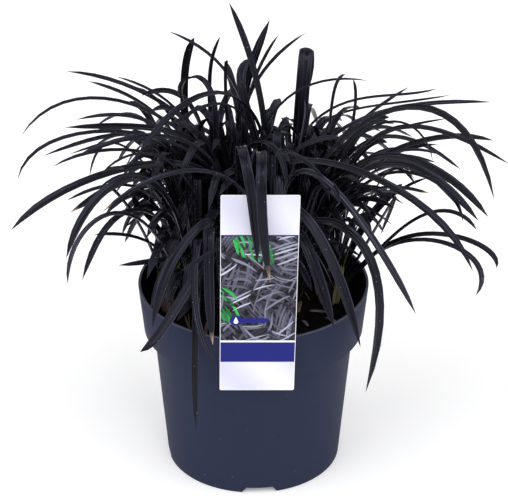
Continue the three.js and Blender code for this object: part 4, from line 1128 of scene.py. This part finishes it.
# Painted highlight: a thin band along each edge of the blade is painted paler.
sides = waves(leaf, across, 2, "COSINE")
edge = add(leaf, "MapRange", {"From Min": 0.85, "From Max": 1.0, "To Max": 0.32, "Value": sides})
foot = add(leaf, "MapRange", {"From Min": 0.1, "From Max": 0.02, "To Max": 0.6, "Value": share})
lower = add(leaf, "MapRange", {"From Min": 0.2, "From Max": 0.04, "To Max": 0.8, "Value": share})
fresh = add(leaf, "MapRange", {"From Min": -0.4, "From Max": -0.6, "Value": mark})
limy = add(leaf, "Math", {0: lower, 1: fresh}, operation="MULTIPLY")
patchy = add(leaf, "TexNoise", {"Scale": 1 / GLOSS_PATCH, "Detail": 3.0, "Vector": place})
ragged = add(leaf, "Math", {0: patchy, 1: 0.04, 2: share}, operation="MULTIPLY_ADD")
tip = add(leaf, "MapRange", {"From Min": 0.985, "From Max": 1.01, "Value": ragged})
dried = add(leaf, "Math", {0: tip, 1: mark}, operation="MULTIPLY")
specks = add(leaf, "TexVoronoi", {"Scale": 1 / SPECK_SPACING, "Vector": place})
speck = add(leaf, "MapRange", {"From Min": 0.065, "From Max": 0.04, "To Max": 0.8, "Value": specks})
colour = LEAF_VIOLET
for part, coat in ((olive, LEAF_OLIVE), (brown, LEAF_BROWN), (painted_sheen, LEAF_SHEEN), (edge, LEAF_EDGE_HIGHLIGHT),
                   (foot, LEAF_BASE), (limy, LEAF_LIME), (dried, LEAF_DRY), (speck, LEAF_DUST)):
    colour = add(leaf, "Mix", {0: part, 6: colour, 7: coat}, data_type="RGBA")
gloss = add(leaf, "MapRange", {"To Min": 0.18, "To Max": 0.38, "Value": patchy})
relief = add(leaf, "Bump", {"Strength": 0.45, "Distance": 0.16 * MM, "Height": veins})
skin = add(leaf, "BsdfPrincipled", {"IOR": 1.42, "Specular IOR Level": 0.32,
                                    "Specular Tint": linear("#dcdcff"), "Base Color": colour,
                                    "Roughness": gloss, "Normal": relief})
add(leaf, "OutputMaterial", {"Surface": skin})

# Short dead scales wrap each crown where it meets the soil, round a dark bundle of leaf bases, and narrow
# young leaves stand between the old ones. Distances are in millimetres.
CROWN_SCALES = 9
SCALE_CIRCLE = 6.5
SCALE_LEANS = (1, 6)
SCALE_HEIGHTS = (12, 30)
SCALE_WIDTHS = (2.6, 5)
SCALE_TRAITS = (0.2, 0.6)
SCALE_TWISTS = (-0.4, 0.4)
SCALE_CHANNEL = 0.6
LEAF_TONES = (0, 0.9)
SCALE_PARTS = 8
SCALE_KNEE = 0.6
SCALE_SINK = 3
BUNDLE_RADII = (6.5, 2.5)
BUNDLE_HEIGHT = 30
BUNDLE_SINK = 5
BUNDLE_TRAITS = (0.06, 0.9, 0)
# Young leaves of each crown: count, middle heading and spread in degrees, farthest lean, lowest and
# highest tip above the soil.
YOUNG_LEAVES = {
    "front_left": (24, 180, 180, 42, 50, 130),
    "front_right": (32, 0, 180, 48, 60, 160),
    "left": (50, 170, 80, 85, 80, 148),
    "right": (50, 10, 80, 85, 80, 148),
    "outer_left": (6, 180, 180, 18, 40, 80),
    "outer_right": (6, 0, 180, 18, 40, 80),
    "centre": (80, 90, 180, 75, 80, 156),
    "back_left": (50, 180, 110, 75, 70, 130),
    "back_right": (50, 0, 110, 75, 70, 130),
    "back": (50, 90, 180, 75, 70, 130),
}
YOUNG_WIDTHS = (4.6, 7.4)
YOUNG_BOWS = (1.1, 1.9)
YOUNG_STEPS = 11
YOUNG_AROUND = 8
YOUNG_KNEE = 0.6
YOUNG_LEANS = (0.1, 1)
# A leaf this broad is arched across its back, by a share of its width.
BROAD = 9
ARCH_SHARE = 0.2
# Every third leaf of a crown with a collar of scales is lime green at its foot.
GREEN_FEET = 3
# The listed leaves of a crown whose tips have dried, and the share of the seeded ones that have.
DRY_TIPS = {"front_left": (2, 5), "centre": (7,), "left": (1,), "right": (6,)}
DRY_TIP_SHARE = 0.06
LEAF_TAPER = 0.85
LEAF_TAPER_POWER = 3
LEAF_SWELL = 1.12


def leaf_outline(shares):
    """A strap leaf's width at shares of its length: nearly even, with a short taper to its tip."""
    run = np.maximum(0, (shares - LEAF_TAPER) / (1 - LEAF_TAPER))
    base = np.minimum(1, shares / SWELL_END)
    return (BASE_WIDTH_SHARE + (1 - BASE_WIDTH_SHARE) * base * (2 - base)) * (1 - run ** LEAF_TAPER_POWER)


for name, tuft in TUFTS.items():
    shape = blade_shape()
    x, y = tuft["crown"]
    for scale in range(CROWN_SCALES):
        turn = draw(0, 2 * math.pi)
        height = draw(*SCALE_HEIGHTS)
        out = np.array([math.cos(turn), math.sin(turn), 0])
        foot = np.array([x, y, SOIL_HEIGHT - SCALE_SINK]) + out * SCALE_CIRCLE
        knee = foot + out + [0, 0, SCALE_KNEE * height]
        route = [foot, knee, foot + out * draw(*SCALE_LEANS) + [0, 0, height]]
        rows = sections(route, draw(*SCALE_WIDTHS), draw(*SCALE_TWISTS), SCALE_PARTS, 0)
        add_blade(shape, rows, SCALE_CHANNEL, PAPER_KEEL, (draw(*SCALE_TRAITS), 1))
    for face in shape.faces:
        face.material_index = 1
    middle = Matrix.Translation((x * MM, y * MM, (SOIL_HEIGHT - BUNDLE_SINK + BUNDLE_HEIGHT / 2) * MM))
    core = bmesh.ops.create_cone(shape, cap_ends=True, segments=16, radius1=BUNDLE_RADII[0] * MM,
                                 radius2=BUNDLE_RADII[1] * MM, depth=BUNDLE_HEIGHT * MM, matrix=middle)
    for vert in core["verts"]:
        vert[shape.verts.layers.float_vector["blade"]] = BUNDLE_TRAITS
    grown = [blade[1:] for blade in blades if blade[0] == name]
    for i, (route, width, twist) in enumerate(grown):
        dry = i in DRY_TIPS.get(name, ()) or i >= len(tuft["leaves"]) and draw(0, 1) < DRY_TIP_SHARE
        rows = sections(route, width * LEAF_SWELL, twist, LEAF_STEPS, FACING_SHARE, leaf_outline)
        if name in SHEATH_CROWNS and i % GREEN_FEET == 0:
            dry = -1
        depth = -ARCH_SHARE * width if width > BROAD else CHANNEL
        add_blade(shape, rows, depth, KEEL, (draw(*LEAF_TONES), dry))
    count, middle, spread, farthest, low, high = YOUNG_LEAVES[name]
    for young in range(count):
        turn = math.radians(middle + draw(-spread, spread))
        lean, bow = draw(*YOUNG_LEANS) * farthest, draw(*YOUNG_BOWS)
        height = draw(low, high) * (2 * bow - 1) / bow ** 2
        out = np.array([math.cos(turn), math.sin(turn), 0]) * lean
        tip = np.array([x, y, SOIL_HEIGHT + height]) + out
        knee = tip - YOUNG_KNEE * out + [0, 0, (bow - 1) * height]
        route = [root_of((x, y), tip), knee, tip]
        rows = sections(route, draw(*YOUNG_WIDTHS), draw(*TWISTS), YOUNG_STEPS, FACING_SHARE, leaf_outline)
        if not meets_holder(rows, (x, y), SOIL_HEIGHT):
            add_blade(shape, rows, CHANNEL, KEEL, (draw(*LEAF_TONES), 0), YOUNG_AROUND)
    bmesh.ops.recalc_face_normals(shape, faces=shape.faces[:])
    leaves = piece("leaves_" + name, shape, leaf, papery, crease=50)
    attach(leaves, "root")
    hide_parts("tuft_" + name)

# ---- Litter -----------------------------------------------------------------------------------
# Small things lie on the soil: orange-brown twigs and greyish scraps of dead leaf.
# They are loose and rest where they fell.
TWIG_RADIUS = 0.55
TWIGS = [
    [(45, 54), (41, 48), (38, 45), (33, 36)],
    [(39, 31), (41, 26), (43, 18)],
    [(-31, 20), (-24, 24), (-20, 31)],
    [(5, 38), (14, 41), (20, 37)],
    [(-58, -22), (-50, -30)],
]
# Start, end and width of each scrap.
SCRAPS = [
    [(42, 6), (55, 2), 3.6],
    [(37, -6), (41, -20), 3.0],
    [(-20, -48), (-8, -52), 3.4],
    [(54, -4), (63, -15), 3.4],
    [(-6, -38), (4, -46), 3.0],
    [(-55, 36), (-48, 47), 3.4],
]
TWIG_LIFT = 0.6
SCRAP_LIFTS = (0.8, 3, 0.9)
SCRAP_TRAITS = (0.5, 1)
TWIG_TAPER = 0.5
LITTER_STEPS = 8
TWIG_SIDES = 8

# Dead twig: thin orange-brown bark, dull and mottled.
bark = mottled("orange-brown twig bark", "#7d5229", "#d39a58", 1.5 * MM, 3.0, {"Roughness": 0.75}, 0.1 * MM)

# Weathered scrap of leaf: grey-brown, papery and matt.
scrap = mottled("weathered dead leaf", "#4c4548", "#95888a", 3 * MM, 3.0, {"Roughness": 0.8}, 0.2 * MM)


def over_soil(spot, lift):
    """A point above the soil, in millimetres."""
    return (*spot, soil_height(spot[0] * MM, spot[1] * MM) / MM + lift)


shape = bmesh.new()
for points in TWIGS:
    route = curve([over_soil(point, TWIG_RADIUS + TWIG_LIFT) for point in points],
                  np.arange(LITTER_STEPS + 1) / LITTER_STEPS)
    tube = bmesh.ops.create_grid(shape, x_segments=TWIG_SIDES, y_segments=LITTER_STEPS, size=0.5)["verts"]
    along = unit(route[-1] - route[0])
    side = unit(np.cross(along, [0, 0, 1]))
    for vert in tube:
        turn = (vert.co.x + 0.5) * 2 * math.pi
        step = round((vert.co.y + 0.5) * LITTER_STEPS)
        radius = 0 if step in (0, LITTER_STEPS) else TWIG_RADIUS * (1 - TWIG_TAPER * step / LITTER_STEPS)
        round_it = side * math.cos(turn) + np.cross(side, along) * math.sin(turn)
        vert.co = Vector(route[step] + round_it * radius) * MM
    bmesh.ops.remove_doubles(shape, verts=tube, dist=MERGE)
bmesh.ops.recalc_face_normals(shape, faces=shape.faces[:])
twigs = piece("twigs", shape, bark)
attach(twigs, "root")

shape = blade_shape()
for start, end, width in SCRAPS:
    middle = [(start[0] + end[0]) / 2, (start[1] + end[1]) / 2]
    route = [over_soil(spot, lift) for spot, lift in zip((start, middle, end), SCRAP_LIFTS)]
    rows = sections(route, width, draw(*SCALE_TWISTS), LITTER_STEPS, 0)
    add_blade(shape, rows, SCALE_CHANNEL, PAPER_KEEL, SCRAP_TRAITS)
bmesh.ops.recalc_face_normals(shape, faces=shape.faces[:])
scraps = piece("leaf_scraps", shape, scrap)
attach(scraps, "root")

# ---- Studio -----------------------------------------------------------------------------------
# A white room with a pale matt floor. Broad soft light falls from both sides in front, a little stronger
# from the left, with a narrow light for crisp glints, and a long lens looks down by 29 degrees.
FLOOR_SIZE = 12.0
WALL_GLOW = 0.35
CAMERA_TILT = math.radians(29.24)
CAMERA_DISTANCE = 2.01
CAMERA_TARGET = Vector((0.0004, 0, 0.1734))
CAMERA_LENS = 191.0
CAMERA_END = 20
FLOOR_PATCH = 1 / 3
FLOOR_DROP = 0.5 * MM

# White acrylic sheet, lit a little from below, so that it stays white round the pot.
LIT_PAINT = {"Roughness": 0.9, "Specular IOR Level": 0.2, "Emission Color": linear("#ffffff"),
             "Emission Strength": 0.2}
paint = mottled("matt white acrylic floor", "#f9f9fa", "#fcfcfd", FLOOR_PATCH, 2.0, LIT_PAINT)
shape = bmesh.new()
bmesh.ops.create_grid(shape, x_segments=1, y_segments=1, size=FLOOR_SIZE / 2,
                      matrix=Matrix.Translation((0, 0, -FLOOR_DROP)))
piece("studio_floor", shape, paint)

# The room's walls look white, and light the plant with a weaker glow.
world = bpy.data.worlds.new("white studio")
world.use_nodes = True
world.node_tree.nodes.clear()
seen = add(world, "LightPath").outputs["Is Camera Ray"]
strength = add(world, "MapRange", {"To Min": WALL_GLOW, "To Max": 1.0, "Value": seen})
glow = add(world, "Background", {"Color": linear("#ffffff"), "Strength": strength})
add(world, "OutputWorld", {"Surface": glow})
bpy.context.scene.world = world
bpy.context.scene.view_settings.view_transform = "Standard"

# Each soft light's bearing from the front and its height in degrees, its strength and its breadth.
SOFT_LIGHTS = [
    ("left_light", -60, 34, 1.55, 60),
    ("right_light", 60, 34, 1.3, 60),
    ("front_fill", 0, 30, 0.4, 60),
    ("back_light", 180, 55, 0.4, 60),
    ("strip_light", 15, 45, 0.3, 12),
]
for name, bearing, height, power, breadth in SOFT_LIGHTS:
    light = bpy.data.lights.new(name, "SUN")
    light.energy = power
    light.angle = math.radians(breadth)
    lamp = stand(name, light)
    turn, rise = math.radians(bearing), math.radians(height)
    lamp.location = (math.sin(turn) * math.cos(rise), -math.cos(turn) * math.cos(rise), math.sin(rise))
    lamp.rotation_euler = (-lamp.location).to_track_quat("-Z", "Y").to_euler()

lens = bpy.data.cameras.new("camera")
lens.lens = CAMERA_LENS
lens.clip_end = CAMERA_END
camera = stand("camera", lens)
back = Vector((0, -math.cos(CAMERA_TILT), math.sin(CAMERA_TILT)))
camera.location = CAMERA_TARGET + back * CAMERA_DISTANCE
camera.rotation_euler = (-back).to_track_quat("-Z", "Y").to_euler()
bpy.context.scene.camera = camera
